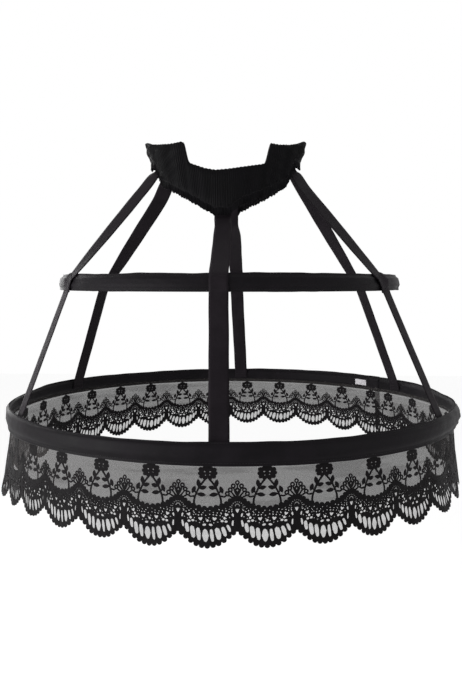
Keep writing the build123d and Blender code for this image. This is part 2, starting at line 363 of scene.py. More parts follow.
class Finishes:
    """Every finish of the part, each made once."""

    def __init__(self) -> None:
        """Makes the materials."""
        self.satin = ClothFinish(
            "casing_satin", Weave.SATIN, (0.003, 0.0025, 0.0033, 1), (0.0095, 0.0078, 0.01, 1),
            roughness=0.52, specular=0.07, sheen=0.01, pitch=0.42, relief=0.05,
        ).build()
        self.tape = ClothFinish(
            "strap_tape_weave", Weave.TAPE, (0.009, 0.0072, 0.009, 1), (0.019, 0.0155, 0.019, 1),
            roughness=0.6, specular=0.05, sheen=0.0, pitch=0.6, relief=0.07,
        ).build()
        self.gathers = ClothFinish(
            "gathered_cloth", Weave.PLAIN, (0.0009, 0.0008, 0.0011, 1), (0.0032, 0.0028, 0.0038, 1),
            roughness=0.46, specular=0.055, sheen=0.0, pitch=0.5, relief=0.05,
        ).build()
        self.net = NetFinish().build()
        self.embroidery = ThreadFinish(
            "lace_embroidery_thread", (0.003, 0.0026, 0.003, 1), (0.008, 0.0068, 0.0078, 1),
            roughness=0.66, specular=0.07, row=0.55, depth=0.12,
        ).build()
        self.sewing = ThreadFinish(
            "sewing_thread", (0.005, 0.0045, 0.005, 1), (0.02, 0.018, 0.02, 1),
            roughness=0.5, specular=0.15, row=0.3, depth=0.03,
        ).build()
        self.elastic = ThreadFinish(
            "woven_elastic", (0.02, 0.02, 0.02, 1), (0.05, 0.05, 0.05, 1),
            roughness=0.7, specular=0.3, row=1.4, depth=0.2, slant=0.1,
        ).build()
        self.label = ClothFinish(
            "label_satin", Weave.SATIN, (0.55, 0.53, 0.56, 1), (0.68, 0.66, 0.68, 1),
            roughness=0.35, specular=0.5, sheen=0.1, pitch=0.5, relief=0.03,
        ).build()
        self.bone = HardFinish(
            "bone_coating", (0.72, 0.71, 0.68, 1), (0.55, 0.54, 0.52, 1),
            roughness=0.42, metallic=0.0, grain=3.0,
        ).build()
        self.sleeve = HardFinish(
            "sleeve_steel", (0.56, 0.56, 0.57, 1), (0.4, 0.4, 0.41, 1),
            roughness=0.34, metallic=1.0, grain=1.2,
        ).build()


def eased(share: Array) -> Array:
    """Smooth step from 0 to 1 for shares from 0 to 1."""
    share = np.clip(share, 0, 1)
    return share * share * (3 - 2 * share)


def waves(turn: Array, *parts: Triple) -> Array:
    """Sum of sine waves round a ring, each given by its count round it, its height and its start."""
    return sum(height * np.sin(times * turn + start) for times, height, start in parts)


def degrees_from(degrees: Array, angle: float) -> Array:
    """The shorter way round from an angle, in degrees."""
    return (degrees - angle + 180) % 360 - 180


def nearness(degrees: Array, angle: float, width: float) -> Array:
    """1 at an angle, falling smoothly to 0 over a few widths either way."""
    return np.exp(-((degrees_from(degrees, angle) / width) ** 2))


def smoothed(values: Array, passes: int) -> Array:
    """Values along a line, each drawn towards its neighbours that many times; the ends stay."""
    for _ in range(passes):
        middle = (values[:-2] + 2 * values[1:-1] + values[2:]) / 4
        values = np.concatenate([values[:1], middle, values[-1:]])
    return values


def unit(vectors: Array) -> Array:
    """Vectors along the last axis, each made one long."""
    return vectors / np.linalg.norm(vectors, axis=-1, keepdims=True)


def travel(path: Array) -> Array:
    """Distance along a path to each of its points."""
    return np.concatenate([[0], np.cumsum(np.linalg.norm(np.diff(path, axis=0), axis=1))])


def cloth_map(along: Array, down: Array) -> Array:
    """Place on the cloth of a grid's points: rows lie at each distance down, columns at each along."""
    return np.stack(np.broadcast_arrays(along[None, :], down[:, None]), -1)


def make_piece(
    name: str, points: Array, faces: list, corner_map: Array | None, finish: bpy.types.Material
) -> Piece:
    """Makes a smooth mesh object.

    Args:
        name: its name.
        points: its vertices in millimetres.
        faces: lists of vertex numbers.
        corner_map: the place on the cloth of each face corner in metres, if it has one.
        finish: its material.

    Returns:
        The object.
    """
    mesh = bpy.data.meshes.new(name)
    mesh.from_pydata((np.asarray(points, float) * MM).tolist(), [], faces)
    if corner_map is not None:
        layer = mesh.uv_layers.new(name=UV_NAME)
        layer.data.foreach_set("uv", np.asarray(corner_map, np.float32).ravel())
    mesh.polygons.foreach_set("use_smooth", [True] * len(mesh.polygons))
    mesh.materials.append(finish)
    mesh.update()
    made = bpy.data.objects.new(name, mesh)
    bpy.context.scene.collection.objects.link(made)
    return made


def make_grid(
    name: str, points: Array, place: Array, finish: bpy.types.Material, closed: bool = False
) -> Piece:
    """Makes a sheet from rows of points.

    Args:
        name: the object's name.
        points: rows by columns by three, in millimetres.
        place: the same rows and columns by two, in millimetres on the cloth; one more row if closed.
        finish: its material.
        closed: whether the last row joins the first.

    Returns:
        The object.
    """
    rows, columns = points.shape[:2]
    row, column = np.meshgrid(np.arange(rows if closed else rows - 1), np.arange(columns - 1), indexing="ij")
    corners = [(row, column), (row, column + 1), (row + 1, column + 1), (row + 1, column)]
    faces = np.stack([(r % rows) * columns + c for r, c in corners], -1).reshape(-1, 4)
    spots = np.stack([place[r, c] for r, c in corners], -2).reshape(-1, 2) * MM
    return make_piece(name, points.reshape(-1, 3), faces.tolist(), spots, finish)


@contextmanager
def editing(piece: Piece) -> Iterator[bmesh.types.BMesh]:
    """Opens a piece's mesh for changes, and writes them back."""
    work = bmesh.new()
    work.from_mesh(piece.data)
    yield work
    work.to_mesh(piece.data)
    work.free()


def join_doubles(piece: Piece, reach: float) -> None:
    """Joins the points of a piece that lie within that many metres of each other."""
    with editing(piece) as work:
        bmesh.ops.remove_doubles(work, verts=work.verts, dist=reach)


def surface_area(piece: Piece) -> float:
    """Area of a mesh in square metres."""
    areas = np.zeros(len(piece.data.polygons))
    piece.data.polygons.foreach_get("area", areas)
    return float(areas.sum())


@dataclass(frozen=True)
class Hoop:
    """Where a hoop hangs and how its casing leans."""

    drop: float
    radius: float
    shift: float
    lean: float
    height: float
    bone_width: float
    bone_thickness: float
    sleeve_skin: float = 0.9
    ease: float = 0.65
    wall: float = 0.8
    seat: float = 0.3
    front_sag: float = 0.0
    left_sag: float = 0.0
    left_sag_angle: float = -155.0
    left_sag_width: float = 16.0
    front_reach: float = 1.4

    @property
    def half_height(self) -> float:
        """Half the casing's height."""
        return self.height / 2

    @property
    def half_thickness(self) -> float:
        """How far the casing's side stands from its middle over the bone."""
        return self.bone_thickness / 2 + self.sleeve_skin + self.ease + self.wall

    @property
    def half_belly(self) -> float:
        """Half the height over which the casing is full."""
        return self.bone_width / 2 + self.sleeve_skin + self.seat

    def side_stand(self, rise: float) -> float:
        """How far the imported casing's side stands out at a height above its middle."""
        share = max(0.0, (abs(rise) - self.half_belly) / (self.half_height - self.half_belly))
        return self.half_thickness * (1 - share)

    def sag(self, turn: Array) -> Array:
        """How much lower the casing's foot hangs at angles round the hoop."""
        left = self.left_sag * nearness(np.degrees(turn), self.left_sag_angle, self.left_sag_width)
        return self.front_sag * eased(-self.front_reach * np.sin(turn)) + left

    def place(self, turn: Array, rise: Array, stand: Array) -> Array:
        """Points on the leaning section.

        Args:
            turn: angles round the hoop in radians.
            rise: heights up the section from its middle.
            stand: distances out from the section's middle line.

        Returns:
            The points, with a last axis of three.
        """
        lean = math.radians(self.lean)
        turn, rise, stand = np.broadcast_arrays(turn, rise, stand)
        radius = self.radius + stand * math.cos(lean) - rise * math.sin(lean)
        height = rise * math.cos(lean) + stand * math.sin(lean) - self.drop
        return np.stack([radius * np.cos(turn) + self.shift, radius * np.sin(turn), height], -1)


MIDDLE_HOOP = Hoop(150.0, 253.0, 6.0, 14.0, 22.0, 8.0, 2.0, front_sag=0.9)
LOWER_HOOP = Hoop(337.5, 336.0, 10.0, 4.0, 27.0, 10.0, 2.8, front_sag=2.8, left_sag=4.0)
JOIN_ANGLE = 39.5


@dataclass
class Stitching:
    """Short stitches of thread that lie on the cloth."""

    name: str
    length: float = 2.5
    radius: float = 0.24
    sides: int = 5
    full_from: float = 0.16
    not_along: Triple = (0.13, 0.21, 0.97)
    places: list[tuple[Array, Array]] = field(default_factory=list)

    def run(self, path: Array, pitch: float) -> None:
        """Lays stitches end to end.

        Args:
            path: points along the seam.
            pitch: distance from one stitch to the next.
        """
        travelled = travel(path)
        middles = np.arange(pitch / 2, travelled[-1] - pitch / 4, pitch)
        reach = self.length / 2
        starts, ends = (
            np.stack([np.interp(middles + half, travelled, path[:, k]) for k in range(3)], -1)
            for half in (-reach, reach)
        )
        self.places += list(zip(starts, ends))

    def build(self, finish: bpy.types.Material) -> Piece:
        """Makes all the stitches as one mesh of small pointed rods."""
        points: list[Array] = []
        faces: list[list[int]] = []
        for start, end in self.places:
            along = (end - start) / max(np.linalg.norm(end - start), 1e-6)
            side = unit(np.cross(along, self.not_along))
            up = np.cross(along, side)
            first = len(points)
            points += [start, end]
            for share in (self.full_from, 1 - self.full_from):
                middle = start + (end - start) * share
                for k in range(self.sides):
                    turn = TAU * k / self.sides
                    points.append(middle + (side * math.cos(turn) + up * math.sin(turn)) * self.radius)
            low, high = first + 2, first + 2 + self.sides
            for k in range(self.sides):
                after = (k + 1) % self.sides
                faces.append([first, low + after, low + k])
                faces.append([low + k, low + after, high + after, high + k])
                faces.append([first + 1, high + k, high + after])
        return make_piece(self.name, np.array(points), faces, None, finish)


@dataclass
class Casing:
    """The satin tube over a hoop's bone: a strip folded along its foot and sewn along its top."""

    name: str
    node: str
    hoop: Hoop
    crease_waves: tuple[Triple, ...]
    lap: float = 13.0
    lap_lift: float = 0.9
    settle: float = 22.0
    edge_stand: float = 0.32
    seam_inset: float = 2.6
    columns: int = 760
    rows: int = 15
    bulge_angle: float = -9.0
    bulge_width: float = 7.0
    bulge: float = 0.0
    dips: tuple[Triple, ...] = ()
    stitch_pitch: float = 3.4
    thread_stand: float = 0.14
    unsewn_columns: int = 3
    foot_fold: float = 0.28
    pressed_in: float = 0.18
    lap_rise: float = 0.055
    skew: float = 0.012
    skew_waves: tuple[Triple, ...] = ((61, 0.09, 0.3), (97, 0.07, 1.2), (143, 0.05, 2.2))
    edge_waves: tuple[Triple, ...] = (
        (7, 0.28, 0.4), (13, 0.22, 2.0), (31, 0.16, 1.0), (53, 0.1, 0.2),
    )

    def side(self, rise: Array) -> Array:
        """Share of the full thickness at heights up the section."""
        belly = self.hoop.half_belly
        seam = self.hoop.half_height - self.seam_inset
        low = self.edge_stand / self.hoop.half_thickness
        return 1 - (1 - low) * eased((np.abs(rise) - belly) / (seam - belly))

    def turns(self) -> Array:
        """Angles of the strip's columns, from its lapping end right round to the end underneath."""
        half = math.degrees(self.lap / 2 / self.hoop.radius)
        return np.radians(np.linspace(JOIN_ANGLE - half, JOIN_ANGLE + 360 + half, self.columns))

    def cloth(self, turn: Array, rise: Array, way: float) -> Array:
        """Points of one side of the casing.

        Args:
            turn: angles in radians.
            rise: heights up the section.
            way: 1 for the outer side and -1 for the inner side.

        Returns:
            The points.
        """
        hoop = self.hoop
        degrees = np.degrees(turn)
        past = (turn - self.turns()[0]) * hoop.radius
        lapping = 1 - eased((past - self.lap) / self.settle)
        share = rise / hoop.half_height
        creases = waves(turn, *self.crease_waves) * (0.6 + 0.4 * np.sin(3 * share + 7 * turn))
        skew = waves(turn + self.skew * rise, *self.skew_waves)
        full = hoop.half_thickness - self.pressed_in + lapping * self.lap_lift + creases * 0.5 + skew
        stand = full * self.side(rise)
        if way > 0:
            ripple = 1 + 0.5 * np.sin(degrees_from(degrees, self.bulge_angle) * 0.9)
            slack = nearness(degrees, self.bulge_angle, self.bulge_width) * self.bulge
            stand = stand + slack * eased(0.75 - share) * ripple
        high = rise * (1 + lapping * self.lap_rise) + waves(turn, *self.edge_waves) * np.abs(share) ** 3
        for angle, width, drop in self.dips:
            high = high - drop * nearness(degrees, angle, width) * eased((share - 0.5) / 0.5)
        high = high - hoop.sag(turn) * eased((-share - 0.2) / 0.8)
        return hoop.place(turn, high, way * stand)

    def build(self, looks: Finishes) -> Piece:
        hoop = self.hoop
        turn = self.turns()[None, :]
        steps = np.sin(np.linspace(-math.pi / 2, math.pi / 2, self.rows))[:, None] * hoop.half_height
        outer = self.cloth(turn, steps[::-1], 1.0)
        inner = self.cloth(turn, steps, -1.0)
        foot = hoop.place(turn, -hoop.half_height - self.foot_fold - hoop.sag(turn), 0 * turn)
        points = np.concatenate([outer, foot, inner], 0)
        drops = travel(points[:, 0])
        along = (turn[0] - turn[0, 0]) * hoop.radius
        piece = make_grid(self.name, points, cloth_map(along, drops), looks.satin)
        stitches = self.sew(looks)
        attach(piece, "root")
        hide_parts(self.node)
        stitches.parent = piece
        return piece

    def sew(self, looks: Finishes) -> Piece:
        """Makes the two rows of stitches beside the bone, on both sides of the casing."""
        sewing = Stitching(f"{self.name}_stitching")
        rise = self.hoop.half_height - self.seam_inset
        turn = self.turns()[self.unsewn_columns : -self.unsewn_columns]
        out = np.stack([np.cos(turn), np.sin(turn)], -1)
        for way in (1.0, -1.0):
            for height in (rise, -rise):
                path = self.cloth(turn, np.full_like(turn, height), way)
                path[:, :2] += way * self.thread_stand * out
                sewing.run(path, self.stitch_pitch)
        stitches = sewing.build(looks.sewing)
        return stitches


@dataclass(frozen=True)
class BandShape:
    """The waistband's oval and the outline of its edges, seen from the front."""

    inner_peak: float = 6.4
    low: float = -54.0
    high: float = 61.0
    low_half_width: float = 93.0
    high_half_width: float = 123.4
    low_half_depth: float = 86.0
    high_half_depth: float = 72.0
    gather_count: int = 38
    gather_slope: float = 0.09
    fold_back: float = 12.0
    side_x: float = 104.0
    hip_x: float = 92.0
    dip_x: float = 12.0
    side_bottom: float = 20.0
    hip_bottom: float = -8.0
    right_raise: float = 5.0
    raise_x: float = 24.0
    raise_width: float = 28.0
    edge_rounds: int = 60
    edge_share: float = 0.25
    top_x: tuple[float, ...] = (
        -126, -121.5, -116, -110, -100, -84, -72, -62, -58, -56, -54.8, -52.8, -48, -38, -26, -11,
        6, 23, 40, 56, 60.4, 64.2, 64.7, 65.2, 66.6, 84, 98, 110, 117, 121, 126,
    )
    top_z: tuple[float, ...] = (
        60.5, 59.6, 57, 54, 52.4, 50.8, 51.4, 52.4, 51, 46, 36, 25, 20.5, 16.8, 12.6, 9.8,
        11, 13.4, 16.2, 18.8, 20, 23, 36.5, 48.6, 50, 48.6, 50, 53.4, 57, 59.8, 60,
    )

    def half_size(self, height: Array, inset: Array) -> tuple[Array, Array]:
        """Half width and half depth of the oval at a height, less an inset."""
        share = (height - self.low) / (self.high - self.low)
        half_width = self.low_half_width + (self.high_half_width - self.low_half_width) * share
        half_depth = self.low_half_depth + (self.high_half_depth - self.low_half_depth) * share
        return half_width - inset, half_depth - inset

    def bottom(self, across: Array) -> Array:
        """Height of the bottom edge at distances from the middle, seen from the front."""
        places = (0, self.dip_x, self.hip_x, self.side_x, 200)
        heights = (self.low, self.low, self.hip_bottom, self.side_bottom, self.side_bottom)
        raised = self.right_raise * np.exp(-(((across - self.raise_x) / self.raise_width) ** 2))
        return np.interp(np.abs(across), places, heights) + raised * eased((across - self.dip_x + 2) / 10)

    def top(self, across: Array) -> Array:
        """Height of the top edge in front."""
        return np.interp(across, self.top_x, self.top_z)

    def top_behind(self, across: Array) -> Array:
        """Height of the top edge behind, where the left fold starts further out."""
        return self.top(across + self.fold_back * eased((-30 - across) / 30) * eased((100 + across) / 15))

    def edge(self, turn: Array, outline: Callable[[Array], Array]) -> Array:
        """Heights at which an outline cuts the leaning oval, at angles round it."""
        height = np.full_like(turn, self.side_bottom)
        for _ in range(self.edge_rounds):
            half_width, _ = self.half_size(height, 0.0)
            height += self.edge_share * (outline(half_width * np.cos(turn)) - height)
        return height

    def place(self, turn: Array, height: Array, inset: Array) -> Array:
        """Points on the oval.

        Args:
            turn: the oval's angles in radians.
            height: heights.
            inset: distances in from the outside.

        Returns:
            The points.
        """
        turn, height, inset = np.broadcast_arrays(turn, height, inset)
        half_width, half_depth = self.half_size(height, 0.0)
        out_x = half_depth * np.cos(turn)
        out_y = half_width * np.sin(turn)
        size = np.hypot(out_x, out_y)
        x = half_width * np.cos(turn) - inset * out_x / size
        y = half_depth * np.sin(turn) - inset * out_y / size
        return np.stack([x, y, height], -1)

    def strap_seat(
        self, angle: float, height: float, width: float, thickness: float, seat: float
    ) -> tuple[Array, Array]:
        """Where a strap lies on the inner face.

        Args:
            angle: the oval's angle in degrees.
            height: the height.
            width: the strap's width.
            thickness: its thickness.
            seat: the clearance under it.

        Returns:
            The strap's middle and its sideways direction.
        """
        turn = math.radians(angle)
        half_width, half_depth = self.half_size(height, self.inner_peak)
        stretch = math.hypot(half_width * math.sin(turn), half_depth * math.cos(turn))
        bend = stretch**3 / (half_width * half_depth)
        fold = self.gather_slope * stretch * TAU / self.gather_count
        stand_in = fold + seat + thickness / 2 + width**2 / (8 * bend)
        side = unit(np.array([-half_width * math.sin(turn), half_depth * math.cos(turn), 0.0]))
        wall = np.array([half_width * math.cos(turn), half_depth * math.sin(turn), height])
        return wall + np.array([-side[1], side[0], 0.0]) * stand_in, side


@dataclass
class Waistband:
    """The gathered cover: one cloth folded over the top, with a tunnel for the elastic and a ruffled foot."""

    shape: BandShape
    columns: int = 1480
    side_rows: int = 22
    fold_rows: int = 5
    gather_pitch: float = 2.7
    tunnel_foot: float = 11.0
    back_lift: float = 8.6
    fold_lift: float = 1.7
    elastic_step: int = 4
    elastic_rows: int = 6
    elastic_ease: float = 2.0
    elastic_below_top: float = 6.0
    elastic_inset: float = 3.6
    elastic_thickness: float = 1.2
    foot_rows: int = 8
    foot_share: float = 0.22
    lobe_pitch: float = 5.6
    lobe_depth: float = 2.0
    seam_reach: float = 4.0
    cloth_per_arc: float = 1.9
    rim_depth: float = 5.0
    rim_stand: float = 1.1
    ear_from: float = 52.0
    ear_reach: float = 22.0
    ear_foot: float = 16.0
    pull_pitch: float = 15.0
    pull_stand: float = 1.7
    stitch_pitch: float = 2.9
    thread_stand: float = 0.16
    seam_gap: float = 2e-6
    clear_of_rim: float = 60.0
    outer_heights: tuple[float, ...] = (0, 2.5, 5.5, 9, 11, 13, 16, 24, 60, 120)
    outer_insets: tuple[float, ...] = (-1.2, -0.2, 0.7, 2.0, 2.5, 1.9, 0.9, 0.5, 0.6, 0.6)
    inner_insets: tuple[float, ...] = (7.0, 6.4, 5.6, 4.6, 4.3, 4.9, 6.4, 6.8, 6.8, 6.8)
    gather_depths: tuple[float, ...] = (1.5, 1.4, 1.1, 0.5, 0.3, 0.6, 0.85, 0.9, 0.8, 0.8)

    def gather(self, arc: Array, height: Array) -> Array:
        """Depth of the gathers from 0 at a peak to 1 in a fold.

        Args:
            arc: distances round the band.
            height: heights above its foot.

        Returns:
            The depth.
        """
        drift = 0.5 * np.sin(arc / 7.3) * np.sin(height / 9.0 + arc / 31.0)
        wander = 1.9 * np.sin(arc / 4.7 + 0.6) + 1.4 * np.sin(arc / 11.3) + drift
        phase = TAU * arc / self.gather_pitch + wander
        deep = 0.75 + 0.25 * np.sin(arc / 3.9 + 1.3 * np.sin(arc / 17.0))
        return deep * (0.5 - 0.5 * np.cos(phase)) ** 0.8

    def edges(self, turn: Array, lifted: Array) -> tuple[Array, Array, Array]:
        """How the band's edges run, with the foot's lobes.

        Args:
            turn: the columns' angles.
            lifted: how much higher the foot is at each.

        Returns:
            The distance round the band and the heights of its foot and top edge, at each column.
        """
        shape = self.shape
        front_top, back_top = shape.edge(turn, shape.top), shape.edge(turn, shape.top_behind)
        top = smoothed(np.where(np.sin(turn) < 0, front_top, back_top), 10) - self.fold_lift
        bottom = smoothed(shape.edge(turn, shape.bottom), 16) + lifted
        arc = travel(shape.place(turn, (top + bottom) / 2, 0.0)[:, :2])
        arc *= round(arc[-1] / self.gather_pitch) * self.gather_pitch / arc[-1]
        lobes = np.abs(np.sin(math.pi * arc / self.lobe_pitch + 1.2 * np.sin(arc / 9.0)))
        ruffle = 0.8 - self.lobe_depth * lobes + 0.7 * np.sin(arc / 2.9)
        off_seam = eased(arc / self.seam_reach) * eased((arc[-1] - arc) / self.seam_reach)
        return arc, bottom + ruffle * off_seam, top + 0.35 * np.sin(TAU * arc / 5.3) * off_seam

    def fold(self, outer: Array, inner: Array) -> Array:
        """Rows of points over the top, from the outer side's last row to the inner side's."""
        middle, half = (outer + inner) / 2, (outer - inner) / 2
        swings = [math.pi * k / self.fold_rows for k in range(1, self.fold_rows)]
        lift = np.array([0, 0, self.fold_lift])
        return np.array([middle + half * math.cos(swing) + lift * math.sin(swing) for swing in swings])

    def build(self, looks: Finishes) -> Piece:
        turn = np.linspace(0, TAU, self.columns + 1)
        lifted = self.back_lift * eased(2.2 * np.sin(turn))
        arc, bottom, top = self.edges(turn, lifted)
        tall = top - bottom
        foot_shares = np.linspace(0, self.foot_share, self.foot_rows + 1)[:-1]
        side_shares = np.linspace(self.foot_share, 1, self.side_rows - self.foot_rows)
        height = tall * np.concatenate([foot_shares, side_shares])[:, None]
        outer = self.layer(turn, arc, bottom, height, tall, 1.0, lifted)
        inner = self.layer(turn, arc, bottom, height, tall, -1.0, lifted)
        points = np.concatenate([outer, self.fold(outer[-1], inner[-1]), inner[::-1]], 0)
        steps = np.linalg.norm(np.diff(points, axis=0), axis=2).mean(axis=1)
        down = np.concatenate([[0], np.cumsum(steps)])
        place = cloth_map(arc * self.cloth_per_arc, down)
        piece = make_grid("waistband_gathers", points, place, looks.gathers)
        join_doubles(piece, self.seam_gap)
        self.make_elastic(turn, top, bottom - lifted, looks)
        stitches = self.sew(turn, arc, bottom, lifted, looks)
        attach(piece, "root")
        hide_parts("waistband_cover")
        stitches.parent = piece
        length = surface_area(piece) / (down[-1] * MM)
        return piece

    def layer(
        self, turn: Array, arc: Array, bottom: Array, height: Array, tall: Array, way: float, lifted: Array
    ) -> Array:
        """One side of the cover, from its foot to its top edge.

        Args:
            turn: the columns' angles.
            arc: their distance round the band.
            bottom: the foot's height at each column.
            height: each row's height above the foot.
            tall: the band's height at each column.
            way: 1 for the outer side and -1 for the inner side.
            lifted: how much higher the foot is, which leaves a shorter ruffle.

        Returns:
            Rows of points.
        """
        shape = self.shape
        ruffle = self.tunnel_foot - lifted
        level = bottom + height
        height = np.where(height < ruffle, height * self.tunnel_foot / ruffle, height + lifted)
        tall = tall + lifted
        depth = np.interp(height, self.outer_heights, self.gather_depths)
        near_top = 1 - eased((tall - height) / self.rim_depth)
        depth = depth * (1 - 0.45 * near_top)
        gather = self.gather(arc[None, :], height)
        half_width, _ = shape.half_size(level, 0.0)
        across = half_width * np.cos(turn)
        if way > 0:
            inset = np.interp(height, self.outer_heights, self.outer_insets) + depth * (gather - 0.45)
            ears = eased((np.abs(across) - self.ear_from) / self.ear_reach) * eased(height / self.ear_foot)
            pull = 0.5 + 0.5 * np.sin(TAU * (np.abs(across) * 0.62 + level * 0.8) / self.pull_pitch)
            inset = inset - ears * pull * self.pull_stand + self.rim_stand * near_top
        else:
            inset = np.interp(height, self.outer_heights, self.inner_insets)
            inset = inset - depth * (gather - 0.5) * 0.6 - self.rim_stand * near_top
        return shape.place(turn[None, :], level, inset)

    def make_elastic(self, turn: Array, top: Array, foot: Array, looks: Finishes) -> None:
        """Args:
            turn: the cover's columns.
            top: its top edge at each.
            foot: its foot at each, before the back is lifted.
            looks: the finishes.
        """
        step = self.elastic_step
        turn, top, foot = turn[::step][None, :], top[::step], foot[::step]
        low = smoothed(foot + self.tunnel_foot + self.elastic_ease, 4)
        high = smoothed(top - self.elastic_below_top, 4)
        share = np.linspace(0, 1, self.elastic_rows)[:, None]
        level = low + (high - low) * share
        half = self.elastic_thickness / 2
        outer = self.shape.place(turn, level, self.elastic_inset - half)
        inner = self.shape.place(turn, level[::-1], self.elastic_inset + half)
        points = np.concatenate([outer, inner], 0)
        arc = travel(outer[0])
        rows = np.arange(len(points) + 1) * float(np.mean(high - low)) / self.elastic_rows
        piece = make_grid("elastic_band", points, cloth_map(arc, rows), looks.elastic, closed=True)
        join_doubles(piece, self.seam_gap)
        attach(piece, "root")
        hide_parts("waist_elastic")
        flat = (float(np.max(high - low)) * MM, float(arc[-1]) * MM)
        area = min(surface_area(piece) / 2, flat[0] * flat[1])
        LOG.info("elastic_band: flat %.4f x %.4f m, area %.4f", *flat, area)

    def sew(self, turn: Array, arc: Array, bottom: Array, lifted: Array, looks: Finishes) -> Piece:
        """Makes the row of stitches along the foot of the tunnel, outside and inside."""
        sewing = Stitching("waistband_stitching", length=2.0, radius=0.3)
        height = (self.tunnel_foot - lifted)[None, :]
        tall = np.full(len(turn), self.clear_of_rim)
        level = bottom + height[0]
        out = self.shape.place(turn, level, 0.0) - self.shape.place(turn, level, 1.0)
        for way in (1.0, -1.0):
            path = self.layer(turn, arc, bottom, height, tall, way, lifted)[0]
            sewing.run(path + way * self.thread_stand * out, self.stitch_pitch)
        stitches = sewing.build(looks.sewing)
        return stitches


